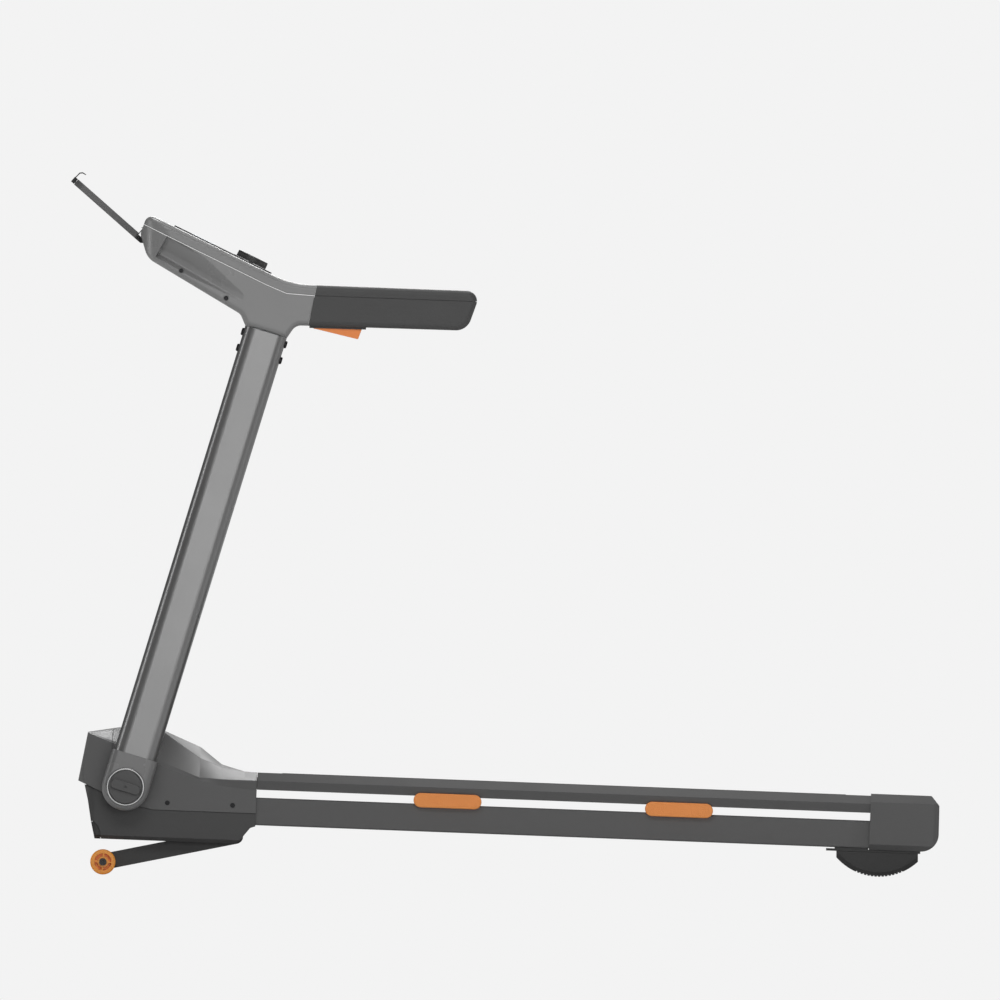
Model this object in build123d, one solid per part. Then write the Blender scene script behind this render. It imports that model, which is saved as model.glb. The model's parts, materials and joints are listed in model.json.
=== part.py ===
from build123d import *
import math
import os

# A folding treadmill. Millimetres and degrees. +X points to the rear (where a runner steps on),
# +Y to the runner's right, +Z up. The origin is the middle of the footprint, on the floor.
# The deck is drawn level in its own frame and then tilted nose up; the mast is drawn upright
# about its fold pivot; the dashboard is drawn about the top of the posts.

# ---- deck frame -------------------------------------------------------------------------------
DECK_TILT = 2.0                 # nose of the deck up
SIDE_TUBE_SIZE = 46.0           # square side tubes
SIDE_TUBE_WALL = 2.0
SIDE_TUBE_OUT = 292.0           # outer face of a side tube from the middle
SIDE_TUBE_BOTTOM = 68.0
SIDE_TUBE_FRONT = -665.0
CUSHION_GAP = 14.0              # height from the side tubes to the board
BOARD_THICKNESS = 18.0
BOARD_HALF_WIDTH = 266.0
BELT_THICKNESS = 2.0
BELT_HALF_WIDTH = 215.0
ROLLER_RADIUS = 22.2
ROLLER_GAP = 0.3                # belt to roller
FRONT_ROLLER_X = -480.0
REAR_ROLLER_X = 668.0
ROLLER_TO_BOARD = 6.0
AXLE_RADIUS = 8.5
RUNNING_FIT = 0.05              # radial clearance of every turning or sliding fit
FREE_GAP = 0.5                  # clearance between pieces that only pass each other
CROSS_TUBE = 25.0
CROSS_TUBE_XS = (-400.0, -140.0, 200.0, 560.0)

# ---- foot rails, end caps, feet ---------------------------------------------------------------
RAIL_INNER = 219.0
RAIL_OUTER = 300.0
RAIL_LIP = 9.6                  # height of the rail over the board
RAIL_BEVEL = 14.0
RAIL_SKIRT_LEAN = 3.5
RAIL_WALL = 3.0
TREAD_THICKNESS = 1.2
TREAD_MARGIN = 9.0
TREAD_END_MARGIN = 22.0
CUSHION_XS = (-101.3, 283.2)
CUSHION_LENGTH = 113.0
CUSHION_HEIGHT = 24.0
CUSHION_PROUD = 3.0
CAP_FRONT = 600.7
CAP_REAR = 716.0
CAP_WALL = 2.5
CAP_RISE = 3.4                  # end cap over the rail
CAP_BEVEL = 14.0
CAP_NOSE_RADIUS = 29.0
FOOT_X = 619.8                  # world X of the lowest point of a rear foot
FOOT_RADIUS = 95.0
FOOT_FRONT = 548.6
FOOT_REAR = 684.1
FOOT_WIDTH = 42.0
FOOT_PLATE = 4.0
SOLE_THICKNESS = 7.0
SOLE_TEETH = 14
SOLE_PITCH = 6.0
SOLE_TOOTH_DEPTH = 2.0

# ---- motor hood -------------------------------------------------------------------------------
HOOD_WALL = 3.0
HOOD_REAR = -418.5
HOOD_SIDE = 297.0               # flat side faces of the side covers
HOOD_SPLIT_Y = 236.0            # gap between the hood and a side cover
HOOD_SPLIT_X = -661.0           # the visor in front of this is one piece with the hood
HOOD_GAP = 0.8
HOOD_CORNER = 26.0              # plan radius of the front corners
LOWER_COVER_SIDE = 295.4
LOWER_COVER_WALL = 2.5
LOWER_COVER_FLOOR = 36.0
LOWER_COVER_EDGE = 12.0
PART_LINE = 87.5                # seam between side covers and lower cover

# ---- mast -------------------------------------------------------------------------------------
MAST_TILT = 17.0
PIVOT_X = -631.8
PIVOT_Z = 145.3
POST_DEPTH = 72.0
POST_WIDTH = 40.0
POST_CORNER = 18.5
POST_WALL = 2.0
POST_Y = 326.0
POST_TOP = 790.6
POST_FOOT = 20.0
BOOT_RADIUS = 39.25
BOOT_TOP = 55.1
BOOT_WIDTH = 44.0
BOOT_ROUND = 11.0
BOOT_CAP = 4.0                  # boot wall outside the pivot axle
PIVOT_AXLE_RADIUS = 9.0
KNOB_RADIUS = 27.5
KNOB_RING_OUTER = 31.5
KNOB_RING_INNER = 28.2
KNOB_SEAT = 1.8                 # depth of the ring's seat in the boot
KNOB_RISE = 2.5
KNOB_STEM = 8.0
KNOB_BAR_WIDTH = 17.0
KNOB_BAR_RISE = 6.0
BOLT_SPOTS = (780.0, 752.4)     # heights of the post bolts along the post
BOLT_HEAD_RADIUS = 6.3
BOLT_HEAD_HEIGHT = 3.6
BOLT_RADIUS = 3.0

# ---- dashboard --------------------------------------------------------------------------------
DASH_HALF_WIDTH = 348.0
HANDLE_WIDTH = 44.0
DASH_CORNER = 50.0
DASH_WALL = 3.0
DASH_SLOPE = 26.04
DASH_EDGE = 9.0                 # rounding of the top edges
DASH_SEAM = 0.8
BAND_DROP = 18.5                # seam below the top surface
HANDLE_TUBE_RADIUS = 14.0
PANEL_THICKNESS = 3.0
PANEL_PROUD = 2.6
PANEL_FRONT = -140.7
PANEL_REAR = 38.8
PANEL_HALF_WIDTH = 255.0
DIAL_RADIUS = 26.5
DIAL_HEIGHT = 10.8
DIAL_SHAFT_RADIUS = 4.0
SCOOP_DEPTH = 11.0              # half way along; deeper at the nose, nothing at the neck
PADDLE_WIDTH = 20.0
PADDLE_BASE_WIDTH = 26.0
PADDLE_BASE_THICKNESS = 3.0

# ---- tablet holder ----------------------------------------------------------------------------
HOLDER_ANGLE = 41.3
HOLDER_LENGTH = 134.0
HOLDER_THICKNESS = 11.0
HOLDER_HALF_WIDTH = 115.0
LEDGE_HEIGHT = 10.8
LEDGE_WALL = 1.6
LEDGE_LIP = 2.4
LEDGE_HALF_WIDTH = 110.0
HINGE_RADIUS = 5.5
HINGE_HALF_WIDTH = 40.0
HINGE_LUG = 12.0
HINGE_PIN_RADIUS = 2.5
HOOK_HALF_WIDTH = 30.0
HOOK_TRAVEL = 40.0

# ---- incline drive ----------------------------------------------------------------------------
INCLINE_PIVOT_X = -452.0
INCLINE_PIVOT_Z = 50.5
INCLINE_TUBE_RADIUS = 11.5
ARM_INNER = 244.0
ARM_WIDTH = 20.0
ARM_DEPTH = 27.0
WHEEL_X = -669.2
WHEEL_RADIUS = 21.0
WHEEL_WIDTH = 22.0
WHEEL_GAP = 2.5
WHEEL_BOLT_RADIUS = 4.0
LEVER_X = -545.0                # pin of the incline lever
LEVER_Z = 55.0
LEVER_PIN_RADIUS = 5.0
ACTUATOR_Y = -70.0
SCREW_RADIUS = 8.0
YOKE_THICKNESS = 8.0

# ---- drive ------------------------------------------------------------------------------------
MOTOR_X = -595.0
MOTOR_Z = 118.0
MOTOR_RADIUS = 42.0
MOTOR_LOW_Y = 30.0
MOTOR_HIGH_Y = 190.0
MOTOR_SHAFT_RADIUS = 6.0
MOTOR_PULLEY_RADIUS = 12.0
ROLLER_PULLEY_RADIUS = 26.0
PULLEY_LOW_Y = 222.0
PULLEY_HIGH_Y = 240.0
DRIVE_BELT_THICKNESS = 3.0
MOTOR_PLATE_THICKNESS = 4.0

# ---- worked out from the sizes above ----------------------------------------------------------
SIDE_TUBE_IN = SIDE_TUBE_OUT - SIDE_TUBE_SIZE
SIDE_TUBE_TOP = SIDE_TUBE_BOTTOM + SIDE_TUBE_SIZE
BOARD_BOTTOM = SIDE_TUBE_TOP + CUSHION_GAP
BOARD_TOP = BOARD_BOTTOM + BOARD_THICKNESS
BELT_TOP = BOARD_TOP + BELT_THICKNESS
RAIL_TOP = BOARD_TOP + RAIL_LIP
RAIL_CREASE = RAIL_TOP - RAIL_BEVEL + 0.4
RAIL_BOTTOM = BOARD_BOTTOM - 1.0
ROLLER_Z = BOARD_TOP + 0.02 - ROLLER_GAP - ROLLER_RADIUS
BELT_INNER_RADIUS = ROLLER_RADIUS + ROLLER_GAP
BELT_OUTER_RADIUS = BELT_INNER_RADIUS + BELT_THICKNESS
BOARD_FRONT = FRONT_ROLLER_X + BELT_OUTER_RADIUS + ROLLER_TO_BOARD
BOARD_REAR = REAR_ROLLER_X - BELT_OUTER_RADIUS - ROLLER_TO_BOARD
CAP_TOP = RAIL_TOP + CAP_RISE
CAP_BOTTOM = SIDE_TUBE_BOTTOM - 2.0
CAP_INNER = RAIL_INNER - CAP_WALL
CAP_OUTER = RAIL_OUTER + CAP_WALL + 0.5
MOTOR_PLATE_TOP = SIDE_TUBE_BOTTOM + MOTOR_PLATE_THICKNESS
TILT = math.radians(DECK_TILT)
WHEEL_Z = (WHEEL_RADIUS + WHEEL_X * math.sin(TILT)) / math.cos(TILT)
DECK = Rot(0, DECK_TILT, 0)
MAST = Pos(PIVOT_X, 0, PIVOT_Z) * Rot(0, MAST_TILT, 0)
POST_HEAD = (MAST * Pos(0, 0, POST_TOP)).position
DASH = Pos(POST_HEAD.X, 0, POST_HEAD.Z)
PIVOT_IN_DECK = (DECK.inverse() * Pos(PIVOT_X, 0, PIVOT_Z)).position
ARM_SLOPE = math.degrees(math.atan2(INCLINE_PIVOT_Z - 1.6 - WHEEL_Z, INCLINE_PIVOT_X - WHEEL_X))


# ---- small helpers ----------------------------------------------------------------------------
def box(x_low, x_high, y_low, y_high, z_low, z_high):
    """Box between two corners."""
    size = (x_high - x_low, y_high - y_low, z_high - z_low)
    middle = ((x_low + x_high) / 2, (y_low + y_high) / 2, (z_low + z_high) / 2)
    return Pos(*middle) * Box(*size)


def rod(x, z, radius, y_low, y_high):
    """Cylinder that lies along Y."""
    return Pos(x, (y_low + y_high) / 2, z) * Rot(90, 0, 0) * Cylinder(radius, y_high - y_low)


def slab(outline, y_low, y_high, radii=0):
    """Solid of a side outline of (x, z) points, between two Y planes."""
    wire = FilletPolyline(*outline, radius=radii, close=True) if radii else Polyline(*outline, close=True)
    face = Plane.XZ * make_face(wire)
    return Pos(0, (y_low + y_high) / 2, 0) * extrude(face, (y_high - y_low) / 2, both=True)


def bar(section, x_low, x_high):
    """Solid of a cross-section of (y, z) points that runs along X."""
    face = Plane.YZ.offset(x_low) * make_face(Polyline(*section, close=True))
    return extrude(face, x_high - x_low)


def loop_band(circles, y_low, y_high, inner, outer):
    """Belt round two circles (x, z, radius), between two offsets from their rims."""
    outside = make_hull([Pos(x, z) * Edge.make_circle(r + outer) for x, z, r in circles])
    inside = make_hull([Pos(x, z) * Edge.make_circle(r + inner) for x, z, r in circles])
    face = Plane.XZ * (outside - inside)
    return Pos(0, (y_low + y_high) / 2, 0) * extrude(face, (y_high - y_low) / 2, both=True)


def other_side(shape):
    """The same piece on the runner's left."""
    return mirror(shape, about=Plane.XZ)


def group(*pieces):
    """Separate solids kept together as one piece."""
    solids = []
    for piece in pieces:
        solids.extend(piece.solids())
    return Compound(solids)


def pair(shape):
    """A piece and its mirror image in one group."""
    return group(shape, other_side(shape))


def edges_at(shape, test):
    """Edges whose centre passes a test."""
    return [edge for edge in shape.edges() if test(edge.center(), edge)]


# ---- deck -------------------------------------------------------------------------------------
def side_tube():
    """Square tube of the deck frame, right side."""
    span = (SIDE_TUBE_FRONT, CAP_REAR - 2 * CAP_WALL - CAP_NOSE_RADIUS)
    outer = box(*span, SIDE_TUBE_IN, SIDE_TUBE_OUT, SIDE_TUBE_BOTTOM, SIDE_TUBE_TOP)
    wall = SIDE_TUBE_WALL
    bore = box(span[0] - 1, span[1] + 1, SIDE_TUBE_IN + wall, SIDE_TUBE_OUT - wall,
               SIDE_TUBE_BOTTOM + wall, SIDE_TUBE_TOP - wall)
    return fillet(outer.edges().filter_by(Axis.X), 3) - bore


def axle_block(x):
    """Block on the side tube that holds a roller axle."""
    block = box(x - 22, x + 22, SIDE_TUBE_IN + 4, SIDE_TUBE_IN + 20, SIDE_TUBE_TOP, ROLLER_Z + 14)
    return block - rod(x, ROLLER_Z, AXLE_RADIUS, SIDE_TUBE_IN, SIDE_TUBE_IN + 30)


BOARD_SUPPORTS = ((BOARD_FRONT + 2, HOOD_REAR - 3), (CAP_FRONT + 4, BOARD_REAR - 2))


def cross_tubes():
    """Cross tubes, incline pivot ears, axle blocks and board supports, all welded to the side tubes."""
    pieces = [support for span in BOARD_SUPPORTS for support in board_support(*span)]
    for x in CROSS_TUBE_XS + (INCLINE_PIVOT_X,):
        tube = box(x - CROSS_TUBE / 2, x + CROSS_TUBE / 2, -SIDE_TUBE_IN, SIDE_TUBE_IN,
                   SIDE_TUBE_BOTTOM, SIDE_TUBE_BOTTOM + CROSS_TUBE)
        bore = box(x - CROSS_TUBE / 2 + 2, x + CROSS_TUBE / 2 - 2, -SIDE_TUBE_IN, SIDE_TUBE_IN,
                   SIDE_TUBE_BOTTOM + 2, SIDE_TUBE_BOTTOM + CROSS_TUBE - 2)
        tube = fillet(tube.edges().filter_by(Axis.Y), 2.5) - bore
        if x == INCLINE_PIVOT_X:
            tube = tube + incline_ears()
        pieces.append(tube)
    for x in (FRONT_ROLLER_X, REAR_ROLLER_X):
        pieces.extend([axle_block(x), other_side(axle_block(x))])
    return group(*pieces)


def board_support(front, rear):
    """Two bars that hold one end of the board on the side tubes."""
    support = box(front, rear, SIDE_TUBE_IN + 2, BOARD_HALF_WIDTH, SIDE_TUBE_TOP, BOARD_BOTTOM)
    return support, other_side(support)


def incline_ears():
    """Ears under a cross tube that carry the incline pivot tube."""
    outline = [(INCLINE_PIVOT_X - 12.5, SIDE_TUBE_BOTTOM), (INCLINE_PIVOT_X + 12.5, SIDE_TUBE_BOTTOM),
               (INCLINE_PIVOT_X + 13.5, 44), (INCLINE_PIVOT_X + 9, 39.2),
               (INCLINE_PIVOT_X - 9, 39.2), (INCLINE_PIVOT_X - 13.5, 44)]
    ear = slab(outline, 222, 230)
    ear = ear - rod(INCLINE_PIVOT_X, INCLINE_PIVOT_Z, INCLINE_TUBE_RADIUS + RUNNING_FIT - 2.5, 220, 232)
    return ear + other_side(ear)


def deck_board():
    """Board under the belt, with its long edges eased."""
    board = box(BOARD_FRONT, BOARD_REAR, -BOARD_HALF_WIDTH, BOARD_HALF_WIDTH, BOARD_BOTTOM, BOARD_TOP)
    ends = edges_at(board, lambda c, e: abs(c.Z - BOARD_TOP) < 0.1 and abs(c.Y) < 1)
    return fillet(ends, 5)


def running_belt():
    """Endless belt round both rollers."""
    circles = [(FRONT_ROLLER_X, ROLLER_Z, ROLLER_RADIUS), (REAR_ROLLER_X, ROLLER_Z, ROLLER_RADIUS)]
    return loop_band(circles, -BELT_HALF_WIDTH, BELT_HALF_WIDTH, ROLLER_GAP, ROLLER_GAP + BELT_THICKNESS)


def roller(x):
    """Steel roller with bearings, bored for its axle."""
    shell = rod(x, ROLLER_Z, ROLLER_RADIUS, -BELT_HALF_WIDTH - 0.8, BELT_HALF_WIDTH + 0.8)
    shell = shell - rod(x, ROLLER_Z, ROLLER_RADIUS - 2.5, -BELT_HALF_WIDTH + 16, BELT_HALF_WIDTH - 16)
    shell = shell - rod(x, ROLLER_Z, AXLE_RADIUS + RUNNING_FIT, -BELT_HALF_WIDTH - 3, BELT_HALF_WIDTH + 3)
    return chamfer(edges_at(shell, lambda c, e: e.length > 6 * ROLLER_RADIUS), 1)


def front_roller():
    """Front roller with its grooved belt pulley."""
    pulley = rod(FRONT_ROLLER_X, ROLLER_Z, ROLLER_PULLEY_RADIUS, PULLEY_LOW_Y, PULLEY_HIGH_Y)
    hub = rod(FRONT_ROLLER_X, ROLLER_Z, 18, BELT_HALF_WIDTH + 0.8, PULLEY_LOW_Y)
    for step in range(5):
        y = PULLEY_LOW_Y + 4 + 2.5 * step
        ring = rod(FRONT_ROLLER_X, ROLLER_Z, ROLLER_PULLEY_RADIUS + 1, y - 0.6, y + 0.6)
        pulley = pulley - (ring - rod(FRONT_ROLLER_X, ROLLER_Z, ROLLER_PULLEY_RADIUS - 1.5, y - 1, y + 1))
    bore = rod(FRONT_ROLLER_X, ROLLER_Z, AXLE_RADIUS + RUNNING_FIT, BELT_HALF_WIDTH - 1, PULLEY_HIGH_Y + 1)
    return roller(FRONT_ROLLER_X) + (pulley + hub - bore)


def roller_axles():
    """Fixed axles of both rollers and the screws that tension the belt."""
    reach = SIDE_TUBE_IN + 20
    pieces = []
    for x in (FRONT_ROLLER_X, REAR_ROLLER_X):
        pieces.append(rod(x, ROLLER_Z, AXLE_RADIUS, -reach, reach))
    screw_x = REAR_ROLLER_X + 22
    shank = Pos(screw_x + 7, SIDE_TUBE_IN + 12, ROLLER_Z) * Rot(0, 90, 0) * Cylinder(4, 14)
    head = Pos(screw_x + 17, SIDE_TUBE_IN + 12, ROLLER_Z) * Rot(0, 90, 0) * Cylinder(6.5, 6)
    socket = Pos(screw_x + 18.5, SIDE_TUBE_IN + 12, ROLLER_Z) * Rot(0, 90, 0) * hexagon(3, 3.2)
    screw = shank + head - socket
    return group(*pieces, screw, other_side(screw))


def hexagon(apothem, height):
    """Hexagonal prism about Z."""
    return Pos(0, 0, -height / 2) * extrude(RegularPolygon(apothem, 6, major_radius=False), height)


def rail_section():
    """Foot rail section: a lip on the board, a flat top, an outer bevel and a leaning skirt."""
    inner, outer, wall = RAIL_INNER, RAIL_OUTER, RAIL_WALL
    web = BOARD_HALF_WIDTH + 2
    skirt = outer - RAIL_SKIRT_LEAN
    return [(inner, BOARD_TOP), (inner, RAIL_TOP - 2.6), (inner + 2.6, RAIL_TOP), (outer - RAIL_BEVEL, RAIL_TOP),
            (outer, RAIL_CREASE), (skirt, RAIL_BOTTOM), (skirt - wall, RAIL_BOTTOM),
            (outer - wall - 0.4, RAIL_CREASE - 1), (outer - RAIL_BEVEL - 1.4, RAIL_TOP - wall - 0.2),
            (web + wall, RAIL_TOP - wall - 0.2), (web + wall, RAIL_BOTTOM), (web, RAIL_BOTTOM),
            (web, BOARD_TOP)]


def cushion_face(x, grow=0.0):
    """Rounded outer face of a deck cushion."""
    radius = CUSHION_HEIGHT / 2 + grow
    half = CUSHION_LENGTH / 2 + grow
    z = (SIDE_TUBE_TOP + BOARD_BOTTOM) / 2 - 1
    outline = [(x - half, z - radius), (x + half, z - radius), (x + half, z + radius), (x - half, z + radius)]
    return slab(outline, SIDE_TUBE_OUT - grow, RAIL_OUTER + CUSHION_PROUD + grow, radius - 0.01)


def deck_cushion(x):
    """Elastomer cushion: a block under the board and a rounded face outside the frame."""
    half = CUSHION_LENGTH / 2 - 8
    block = box(x - half, x + half, SIDE_TUBE_IN + 2, BOARD_HALF_WIDTH, SIDE_TUBE_TOP, BOARD_BOTTOM)
    link = box(x - half, x + half, BOARD_HALF_WIDTH, SIDE_TUBE_OUT, SIDE_TUBE_TOP, RAIL_BOTTOM - FREE_GAP)
    face = cushion_face(x)
    rim = edges_at(face, lambda c, e: abs(c.Y - RAIL_OUTER - CUSHION_PROUD) < 0.1)
    return fillet(rim, 2.5) + block + link


def foot_rail():
    """Foot rail, with a recess for its tread and notches for the cushions."""
    rail = bar(rail_section(), HOOD_REAR + FREE_GAP, CAP_FRONT + 20)
    for x in CUSHION_XS:
        rail = rail - cushion_face(x, 0.4)
    return rail - tread()


def tread():
    """Anti-slip strip let into the top of a foot rail."""
    strip = box(HOOD_REAR + TREAD_END_MARGIN, CAP_FRONT - TREAD_END_MARGIN, RAIL_INNER + TREAD_MARGIN,
                RAIL_OUTER - RAIL_BEVEL - TREAD_MARGIN / 2, RAIL_TOP - TREAD_THICKNESS, RAIL_TOP)
    return fillet(strip.edges().filter_by(Axis.Z), 10)


def cap_block(inset):
    """End cap volume, or its inside when inset by the wall."""
    top, rear, bottom = CAP_TOP - inset, CAP_REAR - inset, CAP_BOTTOM + (2.0 if inset else 0)
    front = CAP_FRONT - (5 if inset else 0)
    inner, outer = CAP_INNER + inset, CAP_OUTER - inset
    bevel, round_low = CAP_BEVEL - 0.6 * inset, 9 - inset
    side = [(front, bottom), (front, top), (rear - 14.5, top), (rear - 1, top - 16), (rear, bottom)]
    section = [(inner, bottom), (outer - round_low, bottom), (outer, bottom + round_low),
               (outer, top - bevel), (outer - bevel, top), (inner, top)]
    plan = [(front, inner), (rear + 1, inner), (rear + 1, outer), (front, outer)]
    block = slab(side, inner, outer, [0, 0, 3, 3, CAP_NOSE_RADIUS - inset]) & bar(section, front, rear + 5)
    return block & extrude(make_face(FilletPolyline(*plan, radius=[0, 0, 12 - inset, 0], close=True)), 300)


def end_cap():
    """Moulded rear end cap, open to the front and slotted for the roller axle."""
    cap = cap_block(0) - cap_block(CAP_WALL)
    slot = box(REAR_ROLLER_X - 14, REAR_ROLLER_X + 14, CAP_INNER - 1, CAP_INNER + CAP_WALL + 1,
               ROLLER_Z - AXLE_RADIUS - 0.6, ROLLER_Z + AXLE_RADIUS + 0.6)
    key_hole = Pos(CAP_REAR, SIDE_TUBE_IN + 12, ROLLER_Z) * Rot(0, 90, 0) * Cylinder(5, 30)
    board_way = box(CAP_FRONT - 1, BOARD_REAR + FREE_GAP, CAP_INNER - 1, CAP_INNER + CAP_WALL + 1,
                    BOARD_BOTTOM - FREE_GAP, BOARD_TOP)
    return cap - slot - key_hole - board_way


def foot_outline(rise=0.0):
    """Box of a rear foot in world X and Z, under the tilted deck."""
    under = CAP_BOTTOM - FOOT_PLATE + rise
    drop = math.tan(math.radians(DECK_TILT))
    return [(FOOT_FRONT, under - drop * FOOT_FRONT), (FOOT_REAR, under - drop * FOOT_REAR),
            (FOOT_REAR, 0), (FOOT_FRONT, 0)]


def foot_y():
    middle = (SIDE_TUBE_IN + SIDE_TUBE_OUT) / 2
    return middle - FOOT_WIDTH / 2, middle + FOOT_WIDTH / 2


def rear_foot():
    """Foot body with the plate that screws to the side tube."""
    plate = box(FOOT_FRONT - 19, FOOT_REAR + 2, SIDE_TUBE_IN + 2, SIDE_TUBE_OUT - 1,
                CAP_BOTTOM - FOOT_PLATE, CAP_BOTTOM)
    pad = box(FOOT_FRONT - 5, CAP_FRONT - 1, SIDE_TUBE_IN + 2, SIDE_TUBE_OUT - 1,
              CAP_BOTTOM, SIDE_TUBE_BOTTOM)
    body = slab(foot_outline(FREE_GAP), *foot_y())
    body = body & rod(FOOT_X, FOOT_RADIUS, FOOT_RADIUS - SOLE_THICKNESS, *foot_y())
    return DECK * (plate + pad) + body


def foot_sole():
    """Rubber sole with cross grooves along its lowest part."""
    low, high = foot_y()
    sole = rod(FOOT_X, FOOT_RADIUS, FOOT_RADIUS, low, high) & slab(foot_outline(), low, high)
    sole = sole - rod(FOOT_X, FOOT_RADIUS, FOOT_RADIUS - SOLE_THICKNESS, low - 1, high + 1)
    pitch_angle = math.degrees(SOLE_PITCH / FOOT_RADIUS)
    for step in range(SOLE_TEETH):
        angle = (step - SOLE_TEETH / 2 + 0.5) * pitch_angle
        notch = slab([(-1.7, 1), (1.7, 1), (0.4, -SOLE_TOOTH_DEPTH), (-0.4, -SOLE_TOOTH_DEPTH)], low - 1, high + 1)
        turn = Pos(FOOT_X, 0, FOOT_RADIUS) * Rot(0, 180 + angle, 0) * Pos(0, 0, FOOT_RADIUS)
        sole = sole - turn * notch
    return sole


# ---- motor hood and covers --------------------------------------------------------------------
# Cross-sections of the hood: x, top height, gap height, shoulder (y, z), side edge height.
HOOD_SECTIONS = (
    (-722.0, 209.0, 208.5, 292.0, 209.0, 207.5),
    (-702.0, 212.5, 211.5, 292.0, 212.0, 211.0),
    (-649.0, 222.4, 219.5, 290.0, 196.0, 191.5),
    (-574.0, 218.7, 215.3, 290.0, 166.0, 158.8),
    (-514.0, 194.3, 175.7, 294.0, 143.5, 138.6),
    (-478.0, 167.0, 162.8, 298.5, 142.0, 131.2),
    (-439.0, 156.4, 156.0, 300.0, 142.0, 127.4),
    (HOOD_REAR, RAIL_TOP, RAIL_TOP, 300.0, RAIL_CREASE, RAIL_BOTTOM),
)
COVER_SEAM = ((-300.0, PART_LINE), (-590.0, PART_LINE), (-640.0, 98.0), (-679.0, 115.3), (-740.0, 142.0))


def hood_section(section, inset):
    """One closed cross-section of the hood."""
    x, top, gap, shoulder_y, shoulder_z, side_z = section
    half = [(HOOD_SIDE - inset, PART_LINE - 20), (HOOD_SIDE - inset, side_z - inset / 2),
            (shoulder_y - inset, shoulder_z - inset / 2), (HOOD_SPLIT_Y - inset / 2, gap - inset),
            (150.0, top - inset)]
    points = half + [(-y, z) for y, z in reversed(half)]
    return Plane.YZ.offset(x) * make_face(Polyline(*points, close=True))


def front_rounding(half_width, front, radius):
    """Tall prism that rounds the front corners in plan."""
    rear = HOOD_REAR + 60
    outline = [(rear, -half_width), (rear, half_width), (front, half_width), (front, -half_width)]
    return Pos(0, 0, -50) * extrude(make_face(FilletPolyline(*outline, radius=[0, 0, radius, radius], close=True)), 400)


def seam_side(above, gap=0.0):
    """Everything above or below the seam between the covers."""
    edge = [(x, z + gap) for x, z in COVER_SEAM]
    limit = 400 if above else -100
    return slab(edge + [(-740, limit), (-300, limit)], -400, 400)


def hood_volume(inset):
    """Volume of the hood and side covers above the cover seam."""
    faces = [hood_section(section, inset) for section in HOOD_SECTIONS]
    solid = loft(faces, ruled=True)
    front = [(-350, 60), (-350, 300), (-687.7 + inset, 300), (-717.5 + inset, 117), (-712 + inset, 60)]
    solid = solid & slab(front, -400, 400) & front_rounding(HOOD_SIDE + 10, -722 + inset, HOOD_CORNER)
    plan = front_rounding(HOOD_SIDE + 3.5 - inset, -719.0 + inset, HOOD_CORNER)
    return (solid & plan) & seam_side(True, -4 * inset)


def hood_shell():
    """Thin shell of the whole upper body, open below and to the rear."""
    inner = hood_volume(HOOD_WALL)
    tail = box(HOOD_REAR - 30, HOOD_REAR + 1, -HOOD_SIDE + HOOD_WALL, HOOD_SIDE - HOOD_WALL,
               PART_LINE - 15, RAIL_BOTTOM - 1.5)
    return hood_volume(0) - inner - tail


def side_cover_zone(inset=0.0):
    """Region of the right side cover."""
    return box(HOOD_SPLIT_X + inset, HOOD_REAR + 10, HOOD_SPLIT_Y + inset, 400, 0, 400)


def hood_pieces():
    """Hood with visor, and the right side cover."""
    shell = hood_shell()
    zone = side_cover_zone()
    lip_zone = box(HOOD_SPLIT_X - 6, HOOD_SPLIT_X + 5.5, HOOD_SPLIT_Y - 5, 400, 80, 400)
    lip = (hood_volume(HOOD_WALL) - hood_volume(HOOD_WALL + 1.5)) & lip_zone & seam_side(True, 9)
    hood = shell - zone - other_side(zone) + pair(lip)
    cover = shell & side_cover_zone(HOOD_GAP)
    x, z = PIVOT_IN_DECK.X, PIVOT_IN_DECK.Z
    cover = cover - rod(x, z, PIVOT_AXLE_RADIUS + 1.5, HOOD_SIDE - 20, HOOD_SIDE + 20)
    for x in COVER_SCREW_XS:
        cover = cover - rod(x, COVER_SCREW_Z, 4.2, HOOD_SIDE - 1.2, HOOD_SIDE + 5)
    return hood, cover


COVER_SCREW_XS = (-566.0, -457.5)
COVER_SCREW_Z = 99.5


def cover_screws():
    """Recessed cross-head screws of the side covers."""
    pieces = []
    for x in COVER_SCREW_XS:
        head = rod(x, COVER_SCREW_Z, 3.8, HOOD_SIDE - 1.2, HOOD_SIDE - 0.3)
        cross = box(x - 2.2, x + 2.2, HOOD_SIDE - 0.9, HOOD_SIDE, COVER_SCREW_Z - 0.5, COVER_SCREW_Z + 0.5)
        cross = cross + box(x - 0.5, x + 0.5, HOOD_SIDE - 0.9, HOOD_SIDE, COVER_SCREW_Z - 2.2, COVER_SCREW_Z + 2.2)
        pieces.append(head - cross)
    return group(*[pair(piece) for piece in pieces])


def lower_volume(inset, bevelled=True):
    """Volume of the lower cover, or its inside, which is open above."""
    floor = LOWER_COVER_FLOOR + inset
    rear = 8 if inset else 0
    seam = [(HOOD_REAR + rear, 87), (-590, 87), (-640, 97.2), (-679, 114.5)]
    if inset:
        seam = [(HOOD_REAR + rear, 160), (-690, 160)]
    outline = seam + [(-704.5 + inset, 125.2), (-698 + inset, 99.3), (-691.5 + inset, 64),
                      (-684.6 + inset, floor), (-448 + rear, floor), (-427 + rear, 63 + inset),
                      (HOOD_REAR + rear, 66 + inset)]
    side = LOWER_COVER_SIDE - inset
    solid = slab(outline, -side, side) & front_rounding(side, -708 + inset, HOOD_CORNER - inset)
    if not bevelled:
        return solid
    low = edges_at(solid, lambda c, e: abs(abs(c.Y) - side) < 0.1 and abs(c.Z - floor) < 1)
    return chamfer(low, LOWER_COVER_EDGE * 0.5)


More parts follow.
